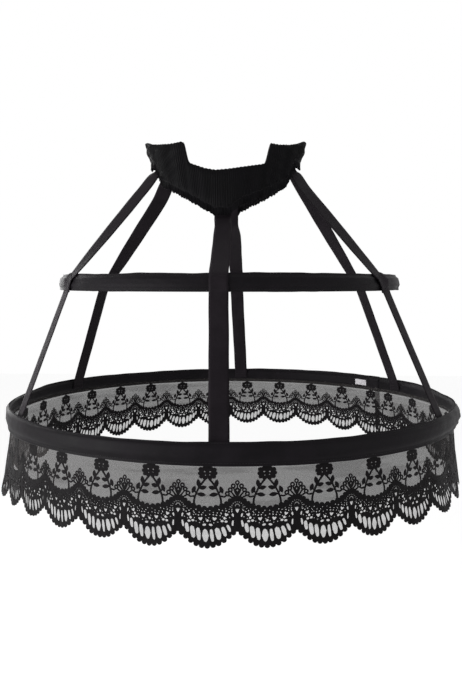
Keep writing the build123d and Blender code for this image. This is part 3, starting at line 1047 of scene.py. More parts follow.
@dataclass
class Strap:
    """One tape, from inside the waistband over the middle casing to the inner side of the lower one."""

    node: str
    lower_angle: float
    middle_angle: float
    waist_angle: float
    leaves_at: float | None = None
    over_turn: float = 0.0
    swing: float = 0.0
    face_front: float = 0.0
    width: float = 24.0
    thickness: float = 1.0
    tuck: float = 28.0
    below_band: float = 2.5
    end: float = 5.5
    seat: float = 0.3
    sides: int = 9
    step: float = 3.0
    visible_lift: float = 0.2
    swing_share: float = 0.22
    rounding: int = 3
    side_rounding: int = 8
    stitch_pitch: float = 2.6
    thread_stand: float = 0.1
    sewn_inset: float = 1.8
    casing_seam: float = 2.6
    upper_sewn: float = 3.6
    end_sewn: float = 2.4

    @property
    def stand(self) -> float:
        """From a casing's side to the tape's middle."""
        return self.seat + self.thickness / 2 + self.visible_lift

    def hoop_stations(
        self, hoop: Hoop, angle: float, slope: float, rises: Sequence[float], way: float
    ) -> list[tuple[Array, Array]]:
        """Places over one face of a casing, slanted as the tape runs.

        Args:
            hoop: the casing's hoop.
            angle: where the tape crosses it, in degrees.
            slope: the tape's sideways travel for each millimetre of drop.
            rises: heights from the casing's middle.
            way: 1 for its outer face and -1 for its inner face.

        Returns:
            The tape's middle and its sideways direction at each height.
        """
        stations = []
        for rise in rises:
            here = math.radians(angle) - slope * rise / hoop.radius
            hollow = self.width**2 / (8 * hoop.radius) if way < 0 else 0.0
            stand = hoop.side_stand(rise) + self.stand + hollow
            point = hoop.place(np.array(here), np.array(rise), np.array(way * stand))
            stations.append((point, np.array([-math.sin(here), math.cos(here), 0.0])))
        return stations

    def stations(self, band: BandShape) -> list[tuple[Array, Array]]:
        """Middle and sideways direction of the tape wherever it bends."""
        cut = (self.width, self.thickness, self.seat)
        centre, side = band.strap_seat(self.waist_angle, 0.0, *cut)
        reach = [float(band.bottom(np.array((centre + side * self.width * 0.75 * s)[0]))) for s in (-1, 0, 1)]
        leave = min(reach) - self.below_band if self.leaves_at is None else self.leaves_at
        tucked = band.strap_seat(self.waist_angle, leave + self.tuck, *cut)
        leaving = band.strap_seat(self.waist_angle, leave, *cut)
        over = MIDDLE_HOOP.place(np.array(math.radians(self.middle_angle)), np.array(0.0), np.array(0.0))
        under = LOWER_HOOP.place(np.array(math.radians(self.lower_angle)), np.array(0.0), np.array(0.0))
        edge, full = MIDDLE_HOOP.half_height, MIDDLE_HOOP.half_belly
        slope = math.radians(self.over_turn) * MIDDLE_HOOP.radius / MIDDLE_HOOP.height
        stations = [tucked, leaving]
        stations += self.hoop_stations(MIDDLE_HOOP, self.middle_angle, slope, [edge, full, -full, -edge], 1.0)
        slope = self.slant(over, under, self.lower_angle)
        return stations + self.hoop_stations(
            LOWER_HOOP, self.lower_angle, slope, [LOWER_HOOP.half_belly, -self.end], -1.0
        )

    @staticmethod
    def slant(start: Array, end: Array, angle: float) -> float:
        """Sideways travel for each millimetre of drop between two points, seen at a hoop angle."""
        turn = math.radians(angle)
        step = end - start
        return float(step @ np.array([-math.sin(turn), math.cos(turn), 0.0])) / -float(step[2])

    def line(self, band: BandShape) -> tuple[Array, Array]:
        """The tape's middle line and sideways directions, rounded where it bends."""
        stations = self.stations(band)
        points, sides = [], []
        for run, ((start, side), (end, next_side)) in enumerate(zip(stations, stations[1:])):
            count = max(2, math.ceil(np.linalg.norm(end - start) / self.step))
            for k in range(count):
                share = k / count
                turned, out, front = share, 0.0, 0.0
                if run == 1:
                    turned = 1 - (1 - share) ** 3
                    out = self.swing * float(eased(np.array(share / self.swing_share))) * (1 - share)
                    front = self.face_front * math.sin(math.pi * share**0.4)
                points.append(start + (end - start) * share + np.array([out, 0.0, 0.0]))
                sides.append(side + (next_side - side) * turned + np.array([front, 0.0, 0.0]))
        points.append(stations[-1][0])
        sides.append(stations[-1][1])
        return smoothed(np.array(points), self.rounding), smoothed(np.array(sides), self.side_rounding)

    def build(self, band: BandShape, looks: Finishes) -> Piece:
        points, sides = self.line(band)
        along = unit(np.gradient(points, axis=0))
        sides = unit(sides - along * np.sum(sides * along, axis=1)[:, None])
        out = np.cross(sides, along)
        travelled = travel(points)
        shares = np.linspace(-1, 1, self.sides)
        half = self.width / 2
        edge_wander = 0.12 * np.sin(travelled / 9.0) + 0.1 * np.sin(travelled / 23.0 + 1.0)
        ring = [(s, 1.0) for s in shares] + [(s, -1.0) for s in shares[::-1]]
        rows = []
        for share, face in ring:
            lip = 0.5 if abs(share) > 0.99 else 1.0
            swell = 1.0 + 0.12 * (0.8 < abs(share) < 0.99)
            reach = half * share + edge_wander * abs(share)
            lift = face * self.thickness / 2 * lip * swell
            rows.append(points + sides * reach[:, None] + out * lift)
        under = shares[::-1] * half + self.width + 2
        around = np.concatenate([shares * half, under, [half + self.width + 3]])
        place = cloth_map(travelled, around)
        piece = make_grid(f"{self.node}_tape", np.array(rows), place, looks.tape, closed=True)
        self.close_ends(piece, len(ring), len(points))
        stitches = self.sew(points, sides, out, looks)
        stitches.parent = piece
        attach(piece, "root")
        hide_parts(self.node)
        return piece

    @staticmethod
    def close_ends(piece: Piece, around: int, columns: int) -> None:
        """Closes the two cut ends of a tape with strips of faces between its two sides."""
        with editing(piece) as work:
            work.verts.ensure_lookup_table()
            for column in (0, columns - 1):
                for k in range(around // 2 - 1):
                    ids = [k, k + 1, around - 2 - k, around - 1 - k]
                    corners = [work.verts[i * columns + column] for i in ids]
                    face = work.faces.new(corners if column == 0 else corners[::-1])
                    face.smooth = True
            bmesh.ops.recalc_face_normals(work, faces=work.faces)

    def sew(self, points: Array, sides: Array, out: Array, looks: Finishes) -> Piece:
        """Makes the stitches that hold the tape on the two casings."""
        sewing = Stitching(f"{self.node}_stitching", length=2.1, radius=0.26)
        inset = self.width / 2 - self.sewn_inset
        seam = MIDDLE_HOOP.half_height - self.casing_seam
        rows = [(rise, MIDDLE_HOOP, 1.0) for rise in (seam, -seam)]
        rows += [(rise, LOWER_HOOP, -1.0) for rise in (self.upper_sewn, self.end_sewn - self.end)]
        for rise, hoop, way in rows:
            level = rise - hoop.drop
            near = int(np.argmin(np.abs(points[:, 2] - level)))
            start, end = points[near] - sides[near] * inset, points[near] + sides[near] * inset
            face = out[near] * (self.thickness / 2 + self.thread_stand)
            towards = np.array([points[near][0] - hoop.shift, points[near][1], 0.0])
            face = face if (face @ towards) * way > 0 else -face
            line = start + (end - start) * np.linspace(0, 1, 12)[:, None] + face
            sewing.run(line, self.stitch_pitch)
        stitches = sewing.build(looks.sewing)
        return stitches


Outline = Array


def spin(degrees: float) -> Array:
    """The matrix that turns rows of flat points by an angle."""
    turn = math.radians(degrees)
    return np.array([[math.cos(turn), math.sin(turn)], [-math.sin(turn), math.cos(turn)]])


def ellipse(
    x: float, y: float, half_width: float, half_height: float, turn: float = 0.0, count: int = 12
) -> Outline:
    """Outline of an ellipse turned by an angle in degrees."""
    angles = np.linspace(0, TAU, count, endpoint=False)
    lean = math.radians(turn)
    across, down = half_width * np.cos(angles), half_height * np.sin(angles)
    places_x = x + across * math.cos(lean) - down * math.sin(lean)
    places_y = y + across * math.sin(lean) + down * math.cos(lean)
    return np.stack([places_x, places_y], -1)


def leaf(x: float, y: float, length: float, width: float, turn: float, count: int = 6) -> Outline:
    """Outline of a pointed leaf whose length lies at an angle in degrees."""
    share = np.linspace(0, 1, count + 1)
    along = (share - 0.5) * length
    out = width / 2 * np.sin(math.pi * share) ** 0.85
    outline = np.concatenate([np.stack([along, out], -1), np.stack([along, -out], -1)[-2:0:-1]])
    return outline @ spin(turn) + (x, y)


def curve_through(points: Sequence[tuple[float, float]], per_run: int) -> Array:
    """Smooth line through points, with that many steps from each to the next."""
    knots = np.array([points[0], *points, points[-1]], float)
    line = []
    for k in range(1, len(knots) - 2):
        before, start, end, after = knots[k - 1 : k + 3]
        for share in np.linspace(0, 1, per_run, endpoint=False):
            square = (2 * before - 5 * start + 4 * end - after) * share**2
            cube = (3 * start - before - 3 * end + after) * share**3
            line.append(0.5 * (2 * start + (end - before) * share + square + cube))
    line.append(knots[-2])
    return np.array(line)


def stroke(points: Sequence[tuple[float, float]], widths: Sequence[float], per_run: int = 3) -> Outline:
    """Outline of a line drawn with a changing width and round ends."""
    line = curve_through(points, per_run)
    along = unit(np.gradient(line, axis=0))
    side = np.stack([-along[:, 1], along[:, 0]], -1)
    half = np.interp(np.linspace(0, 1, len(line)), np.linspace(0, 1, len(widths)), widths)[:, None] / 2
    ends = [line[-1] + along[-1] * half[-1] * 0.7, line[0] - along[0] * half[0] * 0.7]
    return np.concatenate([line + side * half, ends[:1], (line - side * half)[::-1], ends[1:]])


def inside(outline: Outline, points: Array) -> Array:
    """Which points lie inside an outline."""
    x, y = points[:, 0], points[:, 1]
    found = np.zeros(len(points), bool)
    for (x0, y0), (x1, y1) in zip(outline, np.roll(outline, -1, axis=0)):
        if y0 == y1:
            continue
        crosses = (y0 > y) != (y1 > y)
        found ^= crosses & (x < (x1 - x0) * (y - y0) / (y1 - y0) + x0)
    return found


@dataclass
class LaceDrawing:
    """One layer of the lace's repeat, flat: solid outlines and the holes cut in them."""

    solids: list[Outline] = field(default_factory=list)
    holes: list[Outline] = field(default_factory=list)
    above: float = -9.0
    below: float = 110.0

    def mesh(self, low: float, high: float) -> tuple[Array, Array]:
        """Fills the drawing with triangles between two places across the repeat.

        Args:
            low: the left limit.
            high: the right limit.

        Returns:
            The flat points and the triangles.
        """
        cut = [[(x, self.above), (x, self.below)] for x in (low, high)]
        points: list[Vector] = []
        edges: list[tuple[int, int]] = []
        for outline in self.solids + self.holes:
            first = len(points)
            points += [Vector(map(float, p)) for p in outline]
            edges += [(first + k, first + (k + 1) % len(outline)) for k in range(len(outline))]
        for line in cut:
            edges.append((len(points), len(points) + 1))
            points += [Vector(p) for p in line]
        made = delaunay_2d_cdt(points, edges, [], 0, 1e-5)
        flat = np.array([tuple(p) for p in made[0]])
        triangles = np.array([f for f in made[2] if len(f) == 3])
        middle = flat[triangles].mean(axis=1)
        solid = np.zeros(len(middle), bool)
        for outline in self.solids:
            solid |= inside(outline, middle)
        for outline in self.holes:
            solid &= ~inside(outline, middle)
        solid &= (middle[:, 0] > low) & (middle[:, 0] < high)
        kept = triangles[solid]
        used, fresh = np.unique(kept, return_inverse=True)
        return flat[used], fresh.reshape(-1, 3)


@dataclass(frozen=True)
class LacePattern:
    """The repeat's drawing. Places are across from the rose's axis and down from the casing's lower edge."""

    pitch: float = 65.0
    hem_line: tuple[tuple[float, float], ...] = (
        (0, 74), (3, 74.8), (6, 77), (10, 80.5), (14, 84), (19, 87.3), (25, 89.6), (32.5, 90.6),
    )
    picots: tuple[float, ...] = (0, 6.2, 12.2, 18.0, 23.4, 28.2)
    lobes: tuple[tuple[float, float], ...] = (
        (3.4, 47.7), (9.4, 46.6), (15.4, 44.4), (20.8, 42.2), (24.8, 39.0), (29.0, 36.6),
    )

    def hem(self, across: Array) -> Array:
        """How far down the scallop's edge is, without its picots."""
        line = curve_through(self.hem_line, 6)
        return np.interp(self.pitch / 2 - np.abs(across), line[:, 0], line[:, 1])

    def sprays(self) -> LaceDrawing:
        """The rose, its leafy stems and the sprig between two roses."""
        drawing = LaceDrawing()
        solid, hole = drawing.solids.append, drawing.holes.append
        solid(ellipse(0, 8.7, 7.6, 5.6, count=16))
        solid(ellipse(0, 2.0, 3.6, 2.6))
        petals = (
            (-7.3, 4.6, 2.9), (-3.4, 3.4, 2.7), (3.6, 3.4, 2.6), (7.4, 4.8, 2.8), (8.6, 8.6, 2.5),
            (-8.5, 9.0, 2.4), (-7.0, 12.6, 2.5), (7.0, 12.4, 2.6), (3.0, 13.8, 2.4), (-3.2, 13.9, 2.3),
        )
        for x, y, size in petals:
            solid(ellipse(x, y, size, size * 0.92, count=10))
        for x, y, size in ((-3.1, 7.0, 1.0), (3.0, 7.1, 1.05), (-2.4, 10.9, 0.75), (2.6, 10.6, 0.7)):
            hole(ellipse(x, y, size, size * 0.8, count=7))
        stem = np.array([(1.0, 14.0), (4.8, 18.3), (8.8, 24.0), (12.2, 31.0), (14.5, 37.5), (14.9, 44.0)])
        for s in (-1, 1):
            solid(stroke(stem * (s, 1), (2.3, 2.1, 2.3)))
            solid(leaf(9.9 * s, 20.0, 9.4, 4.9, -90 + 8 * s))
            solid(leaf(15.2 * s, 27.2, 9.0, 4.7, -90 - 22 * s))
            solid(stroke([(9.6 * s, 25.0), (10.0 * s, 22.5)], (1.7, 1.7), 2))
            solid(stroke([(12.0 * s, 31.0), (14.0 * s, 29.0)], (1.7, 1.7), 2))
            for x, y, length, width, turn in ((5.0, 24.9, 8.6, 4.7, 14), (6.8, 32.6, 10.4, 4.8, -8)):
                solid(leaf(x * s, y, length, width, turn * s))
            solid(stroke([(8.4 * s, 25.6), (9.4 * s, 26.2)], (1.3, 1.3), 2))
            solid(stroke([(11.4 * s, 32.2), (12.6 * s, 32.8)], (1.3, 1.3), 2))
            self.sprig(drawing, s * self.pitch / 2)
        return drawing

    def sprig(self, drawing: LaceDrawing, axis: float) -> None:
        """Adds the sprig of small loops that stands on the border between two roses."""
        solid, hole = drawing.solids.append, drawing.holes.append
        solid(ellipse(axis, 18.9, 2.6, 2.8))
        hole(ellipse(axis, 18.9, 1.1, 1.25, count=8))
        solid(ellipse(axis, 27.8, 3.2, 3.4))
        hole(ellipse(axis, 27.6, 0.8, 1.0, count=6))
        solid(stroke([(axis, 20.8), (axis, 37.0)], (1.7, 1.7), 2))
        for s in (-1, 1):
            for x, y in ((4.5, 22.7), (7.7, 27.0), (10.9, 31.3)):
                solid(ellipse(axis + s * x, y, 2.85, 2.85))
                hole(ellipse(axis + s * x, y, 1.1, 1.1, count=7))
                foot = 30.0 + (x - 4.5) * 0.9
                stalk = np.array([(x * 0.9, y + 1.8), (x * 0.5, foot), (0, foot + 3.5)])
                solid(stroke(stalk * (s, 1) + (axis, 0), (1.7, 2.0)))
            frond = np.array([(11.3, 33.2), (14.2, 35.0), (17.6, 34.2)])
            solid(stroke(frond * (s, 1) + (axis, 0), (1.7, 1.9)))

    def border(self) -> LaceDrawing:
        """The scalloped border with its medallions, dots, fan and picots."""
        drawing = LaceDrawing()
        solid, hole = drawing.solids.append, drawing.holes.append
        half = self.pitch / 2
        top = (
            (0, 47.4), (3.4, 46.0), (6.6, 47.0), (9.4, 44.8), (12.4, 45.0), (15, 42.6), (18, 42.6),
            (20.4, 40.6), (23.2, 40.6), (24.8, 37.6), (27.0, 35.6), (29.6, 34.4), (half, 34.0),
        )
        ovals = ((16.0, 61.6, 1.8, 1.4), (18.6, 58.4, 1.4, 1.6), (20.2, 62.2, 1.8, 1.4))
        dots = ((2.6, 50.6, 0.6), (12.6, 49.4, 0.75), (14.6, 53.0, 0.6), (24.6, 46.0, 0.8), (26.4, 50.4, 0.6))
        side = curve_through(top, 3)
        low = np.linspace(half, 0, 26)
        edge = np.stack([low, self.hem(low)], -1)
        right = np.concatenate([side, edge])
        solid(np.concatenate([right, (right * (-1, 1))[-2:0:-1]]))
        for place in self.picots:
            for s in ((-1, 1) if place else (1,)):
                solid(ellipse(s * place, float(self.hem(np.array(place))) - 0.4, 3.1, 3.1, count=12))
        for s in (-1, 1):
            for x, y in self.lobes:
                solid(ellipse(s * x, y, 2.7, 2.5))
            self.junction_medallion(drawing, s * half)
            self.medallion(drawing, s * 21.0, 53.4, 4.5, 20 * s)
            self.medallion(drawing, s * 7.8, 58.2, 4.9, 6 * s)
            for x, y, wide, high in ovals:
                hole(ellipse(s * x, y + (s > 0) * 0.5, wide, high, count=8))
            hole(ellipse(s * 3.5, 66.6, 2.1, 1.4, 14 * s, 9))
            hole(ellipse(s * 27.6, 55.4, 0.95, 2.3, -12 * s, 9))
            for x, y, size in dots:
                hole(ellipse(s * x, y, size, size, count=6))
        hole(ellipse(0, 61.9, 1.5, 1.5, count=8))
        self.fan(drawing)
        return drawing

    @staticmethod
    def medallion(drawing: LaceDrawing, x: float, y: float, size: float, lean: float) -> None:
        """Adds a small round medallion: a heart-shaped hole, two eyes and a broken ring of pinholes."""
        hole = drawing.holes.append
        leaning = spin(lean)
        upper = [(-0.5, 0.05), (-0.28, -0.12), (0, 0.04), (0.28, -0.12), (0.5, 0.05)]
        heart = np.array(upper + [(0.26, 0.5), (0, 0.74), (-0.26, 0.5)])
        hole(heart * size @ leaning + (x, y + 0.3))
        for s in (-1, 1):
            eye = np.array([0.36 * s, -0.62]) * size @ leaning + (x, y + 0.3)
            hole(ellipse(float(eye[0]), float(eye[1]), 0.78, 0.78, count=6))
        pinholes = 9
        for k in range(pinholes):
            angle = TAU * k / pinholes + 0.3
            across, down = size * 1.32 * math.cos(angle), size * 1.22 * math.sin(angle)
            hole(ellipse(x + across, y + down + 0.2, 0.68, 0.68, count=5))

    @staticmethod
    def junction_medallion(drawing: LaceDrawing, axis: float) -> None:
        """Adds the larger medallion under the sprig: a crescent over a drop, in a ring of pinholes."""
        hole = drawing.holes.append
        crescent = np.array([(-2.5, 45.2), (-1.5, 43.4), (0, 42.8), (1.5, 43.4), (2.5, 45.2)])
        hole(stroke(crescent + (axis, 0), (0.9, 1.3, 0.9), 2))
        drop = np.array([(-2.3, 48.4), (0, 48.0), (2.3, 48.4), (1.3, 51.0), (0, 53.0), (-1.3, 51.0)])
        hole(drop + (axis, 0))
        for degrees in range(-200, 21, 22):
            angle = math.radians(degrees)
            hole(ellipse(axis + 6.3 * math.cos(angle), 46.6 + 6.4 * math.sin(angle), 0.78, 0.78, count=5))

    def fan(self, drawing: LaceDrawing) -> None:
        """Adds the long openings that fan out below the inner arc."""
        slots = (
            (-27.6, 61.4, -26.4, 68.0, 0.0, (1.6, 2.6, 2.0)),
            (-23.0, 65.2, -21.4, 74.0, -0.2, (3.4, 4.4, 3.2)),
            (-17.2, 68.8, -15.2, 80.2, 0.1, (4.2, 5.4, 3.8)),
            (-10.6, 70.8, -9.0, 83.2, 0.0, (3.8, 5.0, 3.0)),
            (-2.6, 72.6, -1.8, 85.0, 0.0, (4.0, 7.6, 3.2)),
            (4.2, 72.2, 5.9, 84.8, -0.2, (2.8, 4.2, 2.8)),
            (10.2, 71.0, 12.6, 82.4, 0.4, (4.6, 6.4, 4.0)),
            (16.6, 69.6, 19.6, 78.8, 0.1, (3.6, 4.6, 3.2)),
            (21.8, 67.2, 24.6, 73.8, 0.2, (2.8, 3.4, 2.2)),
            (27.8, 61.6, 27.4, 67.2, -0.2, (1.4, 2.0, 1.6)),
        )
        for x0, y0, x1, y1, bow, widths in slots:
            middle = ((x0 + x1) / 2 + bow, (y0 + y1) / 2)
            drawing.holes.append(stroke([(x0, y0), middle, (x1, y1)], widths, 3))


@dataclass
class Lace:
    """The net lace round the foot of the lower casing, with its embroidery on both faces."""

    hoop: Hoop
    pattern: LacePattern
    overlap: float = 6.0
    packed_half: float = 0.4
    drop: float = 93.0
    flare: float = 3.0
    first_rose: float = 34.2
    last_rose: float = 41.7
    change_angle: float = -45.6
    right_count: int = 7
    rest_count: int = 24
    front_pull: float = 1.15
    pull_angle: float = -92.0
    pull_width: float = 42.0
    join_angle: float = 38.95
    join_half: float = 0.9
    lap_lift: float = 1.1
    longer_front: float = 2.5
    back_tilt: float = 6.5
    flares: tuple[tuple[float, float, float, float], ...] = (
        (-28.0, 20.0, 9.0, 0.0), (-167.0, 20.0, 6.0, 12.0), (74.0, 24.0, 0.0, -6.0),
    )
    columns: int = 1300
    rows: int = 16
    spray_half: float = 0.3
    border_half: float = 0.42
    net_inset: float = 1.2
    repeat_gap: float = 1.5e-5
    lap_from: float = 10.0
    lap_settle: float = 22.0
    swing_waves: tuple[Triple, ...] = (
        (6, 1.1, 0.7), (11, 1.0, 2.1), (17, 0.7, 0.2), (29, 0.5, 1.4),
    )
    flutter_waves: tuple[Triple, ...] = ((47, 0.35, 0.5), (71, 0.25, 2.5))
    flutter_skew: float = 0.002

    def roses(self) -> list[float]:
        """Angles of the roses in degrees, from the join right round to the join."""
        right_step = (self.first_rose - self.change_angle) / self.right_count
        rest_step = (self.change_angle - (self.last_rose - 360)) / self.rest_count
        rest = [self.last_rose + rest_step * k for k in range(self.rest_count)]
        right = [self.change_angle + 360 + right_step * k for k in range(self.right_count + 1)]
        even = np.array(rest + right)
        return (even - self.front_pull * nearness(even, self.pull_angle, self.pull_width)).tolist()

    def spans(self) -> list[Triple]:
        """Each rose's angle and the degrees of half a repeat before and after it."""
        roses = self.roses()
        gaps = np.diff(roses)
        before = np.concatenate([gaps[:1], gaps]) / 2
        after = np.concatenate([gaps, gaps[-1:]]) / 2
        return list(zip(roses, before.tolist(), after.tolist()))

    @property
    def join(self) -> tuple[float, float]:
        """Degrees at which the strip starts and ends; it laps over itself there."""
        return self.join_angle - self.join_half, self.join_angle + 360 + self.join_half

    def across(self, degrees: Array) -> Array:
        """Place across the repeat at angles round the hoop."""
        roses, before, after = np.array(self.spans()).T
        nearest = np.argmin(np.abs(degrees[:, None] - roses[None, :]), axis=1)
        off = degrees - roses[nearest]
        return off / np.where(off < 0, before[nearest], after[nearest]) * self.pattern.pitch / 2

    def place(self, degrees: Array, down: Array, lift: Array | float) -> Array:
        """Points of the hanging lace.

        Args:
            degrees: angles round the hoop.
            down: distances below the casing's lower edge.
            lift: distances out from the lace's middle.

        Returns:
            The points.
        """
        hoop = self.hoop
        lean = math.radians(hoop.lean)
        rise = self.overlap - hoop.half_height
        stand = -hoop.side_stand(rise) - hoop.seat - self.packed_half
        top_radius = hoop.radius + stand * math.cos(lean) - rise * math.sin(lean)
        top_height = rise * math.cos(lean) + stand * math.sin(lean) - hoop.drop
        foot = -hoop.half_height * math.cos(lean) - hoop.drop
        turn = np.radians(degrees)
        longer = (0.4 - np.sin(turn)) * self.longer_front
        longer = longer - self.back_tilt * np.cos(turn) * eased(2 * np.sin(turn))
        reach = 0.0
        for angle, width, out, extra in self.flares:
            near = nearness(degrees, angle, width)
            longer = longer + extra * near
            reach = reach + out * near
        sag = hoop.sag(turn) * (1 - np.clip(down, 0, self.drop) / self.drop)
        height = foot - sag - down * (1 + longer / self.drop * (down > 0))
        share = (top_height - height) / (top_height - (foot - self.drop))
        radius = top_radius + (hoop.radius + self.flare - top_radius) * share + reach * share**2
        free = eased((share - 0.1) / 0.9)
        swing = waves(turn, *self.swing_waves)
        flutter = waves(turn + self.flutter_skew * down, *self.flutter_waves) * share
        past = np.radians(degrees - self.join[0]) * hoop.radius
        lapped = (1 - eased((past - self.lap_from) / self.lap_settle)) * self.lap_lift
        radius = radius + free * swing + flutter + lapped + lift
        return np.stack([radius * np.cos(turn) + hoop.shift, radius * np.sin(turn), height + 0 * turn], -1)

    def make_net(self, looks: Finishes) -> Piece:
        """Makes the net."""
        degrees = np.linspace(*self.join, self.columns)
        hem = self.pattern.hem(self.across(degrees)) - self.net_inset
        share = np.linspace(0, 1, self.rows)[:, None]
        down = -self.overlap + (hem + self.overlap)[None, :] * share
        points = self.place(np.broadcast_to(degrees, down.shape), down, 0.0)
        along = np.radians(degrees - degrees[0]) * self.hoop.radius
        place = np.stack(np.broadcast_arrays(along[None, :], down), -1)
        return make_grid("lace_net", points, place, looks.net)

    def make_layer(self, name: str, drawing: LaceDrawing, half: float, looks: Finishes) -> Piece:
        """Repeats a drawing round the hoop as one thin closed body.

        Args:
            name: the piece's name.
            drawing: the flat drawing of one repeat.
            half: half the embroidery's thickness.
            looks: the finishes.

        Returns:
            The object.
        """
        reach = self.pattern.pitch / 2
        start, end = self.join
        made: dict[tuple[float, float], tuple[Array, Array]] = {}
        points, faces = [], []
        count = 0
        for rose, before, after in self.spans():
            low = -reach if rose - before > start else (start - rose) / before * reach
            high = reach if rose + after < end else (end - rose) / after * reach
            if (low, high) not in made:
                made[low, high] = drawing.mesh(low, high)
            flat, triangles = made[low, high]
            degrees = rose + flat[:, 0] / reach * np.where(flat[:, 0] < 0, before, after)
            size = len(flat)
            points += [self.place(degrees, flat[:, 1], lift) for lift in (half, -half)]
            faces += (triangles + count).tolist() + (triangles[:, ::-1] + count + size).tolist()
            rim = self.rim(flat, triangles, (low, high), reach) + count
            faces += [[a, a + size, b + size, b] for a, b in rim.tolist()]
            count += 2 * size
        piece = make_piece(name, np.concatenate(points), faces, None, looks.embroidery)
        with editing(piece) as work:
            bmesh.ops.remove_doubles(work, verts=work.verts, dist=self.repeat_gap)
            bmesh.ops.recalc_face_normals(work, faces=work.faces)
        piece.data.polygons.foreach_set("use_smooth", [False] * len(piece.data.polygons))
        return piece

    @staticmethod
    def rim(flat: Array, triangles: Array, limits: tuple[float, float], reach: float) -> Array:
        """Edges of a filled drawing, except where the next repeat goes on.

        Args:
            flat: its points.
            triangles: its triangles.
            limits: the places across between which it was filled.
            reach: half a whole repeat.

        Returns:
            The two ends of each edge.
        """
        edges = np.concatenate([triangles[:, [0, 1]], triangles[:, [1, 2]], triangles[:, [2, 0]]])
        keys = np.sort(edges, axis=1)
        _, index, counts = np.unique(keys, axis=0, return_index=True, return_counts=True)
        rim = edges[index[counts == 1]]
        across = flat[rim][:, :, 0]
        seam = np.zeros(len(rim), bool)
        for limit in limits:
            if abs(abs(limit) - reach) < 1e-6:
                seam |= np.all(np.abs(across - limit) < 1e-3, axis=1)
        return rim[~seam]

    def build(self, looks: Finishes) -> Piece:
        net = self.make_net(looks)
        sprays = self.make_layer("lace_sprays", self.pattern.sprays(), self.spray_half, looks)
        border = self.make_layer("lace_border", self.pattern.border(), self.border_half, looks)
        sprays.parent = net
        border.parent = net
        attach(net, "root")
        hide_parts("lace_trim")
        length = math.radians(self.join[1] - self.join[0]) * (self.hoop.radius + self.flare / 2) * MM
        deep = (self.overlap + self.drop) * MM
        area = min(surface_area(net), length * deep)
        LOG.info("lace_net: flat %.4f x %.4f m, area %.4f", deep, length, area)
        for piece in (sprays, border):
            LOG.info("%s: %d faces", piece.name, len(piece.data.polygons))
        return net


@dataclass
class Label:
    """The bare satin label on the inner side of the lower casing."""

    hoop: Hoop
    angle: float = 45.5
    width: float = 25.0
    height: float = 10.5

    def build(self, looks: Finishes) -> Piece:
        across = np.linspace(-self.width / 2, self.width / 2, 21)[None, :]
        rise = np.linspace(-self.height / 2, self.height / 2, 9)[:, None]
        turn = math.radians(self.angle) + across / self.hoop.radius
        curl = 0.35 * (2 * rise / self.height) ** 2 + 0.12 * np.sin(across / 3.1) * (2 * rise / self.height)
        stand = -(self.hoop.half_thickness + 0.55 + curl)
        points = self.hoop.place(turn + 0 * rise, rise + 0.15 * np.sin(across / 5.0), stand)
        place = np.stack(np.broadcast_arrays(across, rise), -1)
        piece = make_grid("label_satin", points, place, looks.label)
        sewing = Stitching("label_stitching", length=1.4, radius=0.16)
        for side in (-1, 1):
            line = points[:, 1 if side < 0 else -2].copy()
            line[:, :2] *= 1 - 0.12 / self.hoop.radius
            sewing.run(line, 1.8)
        stitches = sewing.build(looks.label)
        stitches.parent = piece
        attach(piece, "root")
        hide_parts("care_label")
        return piece


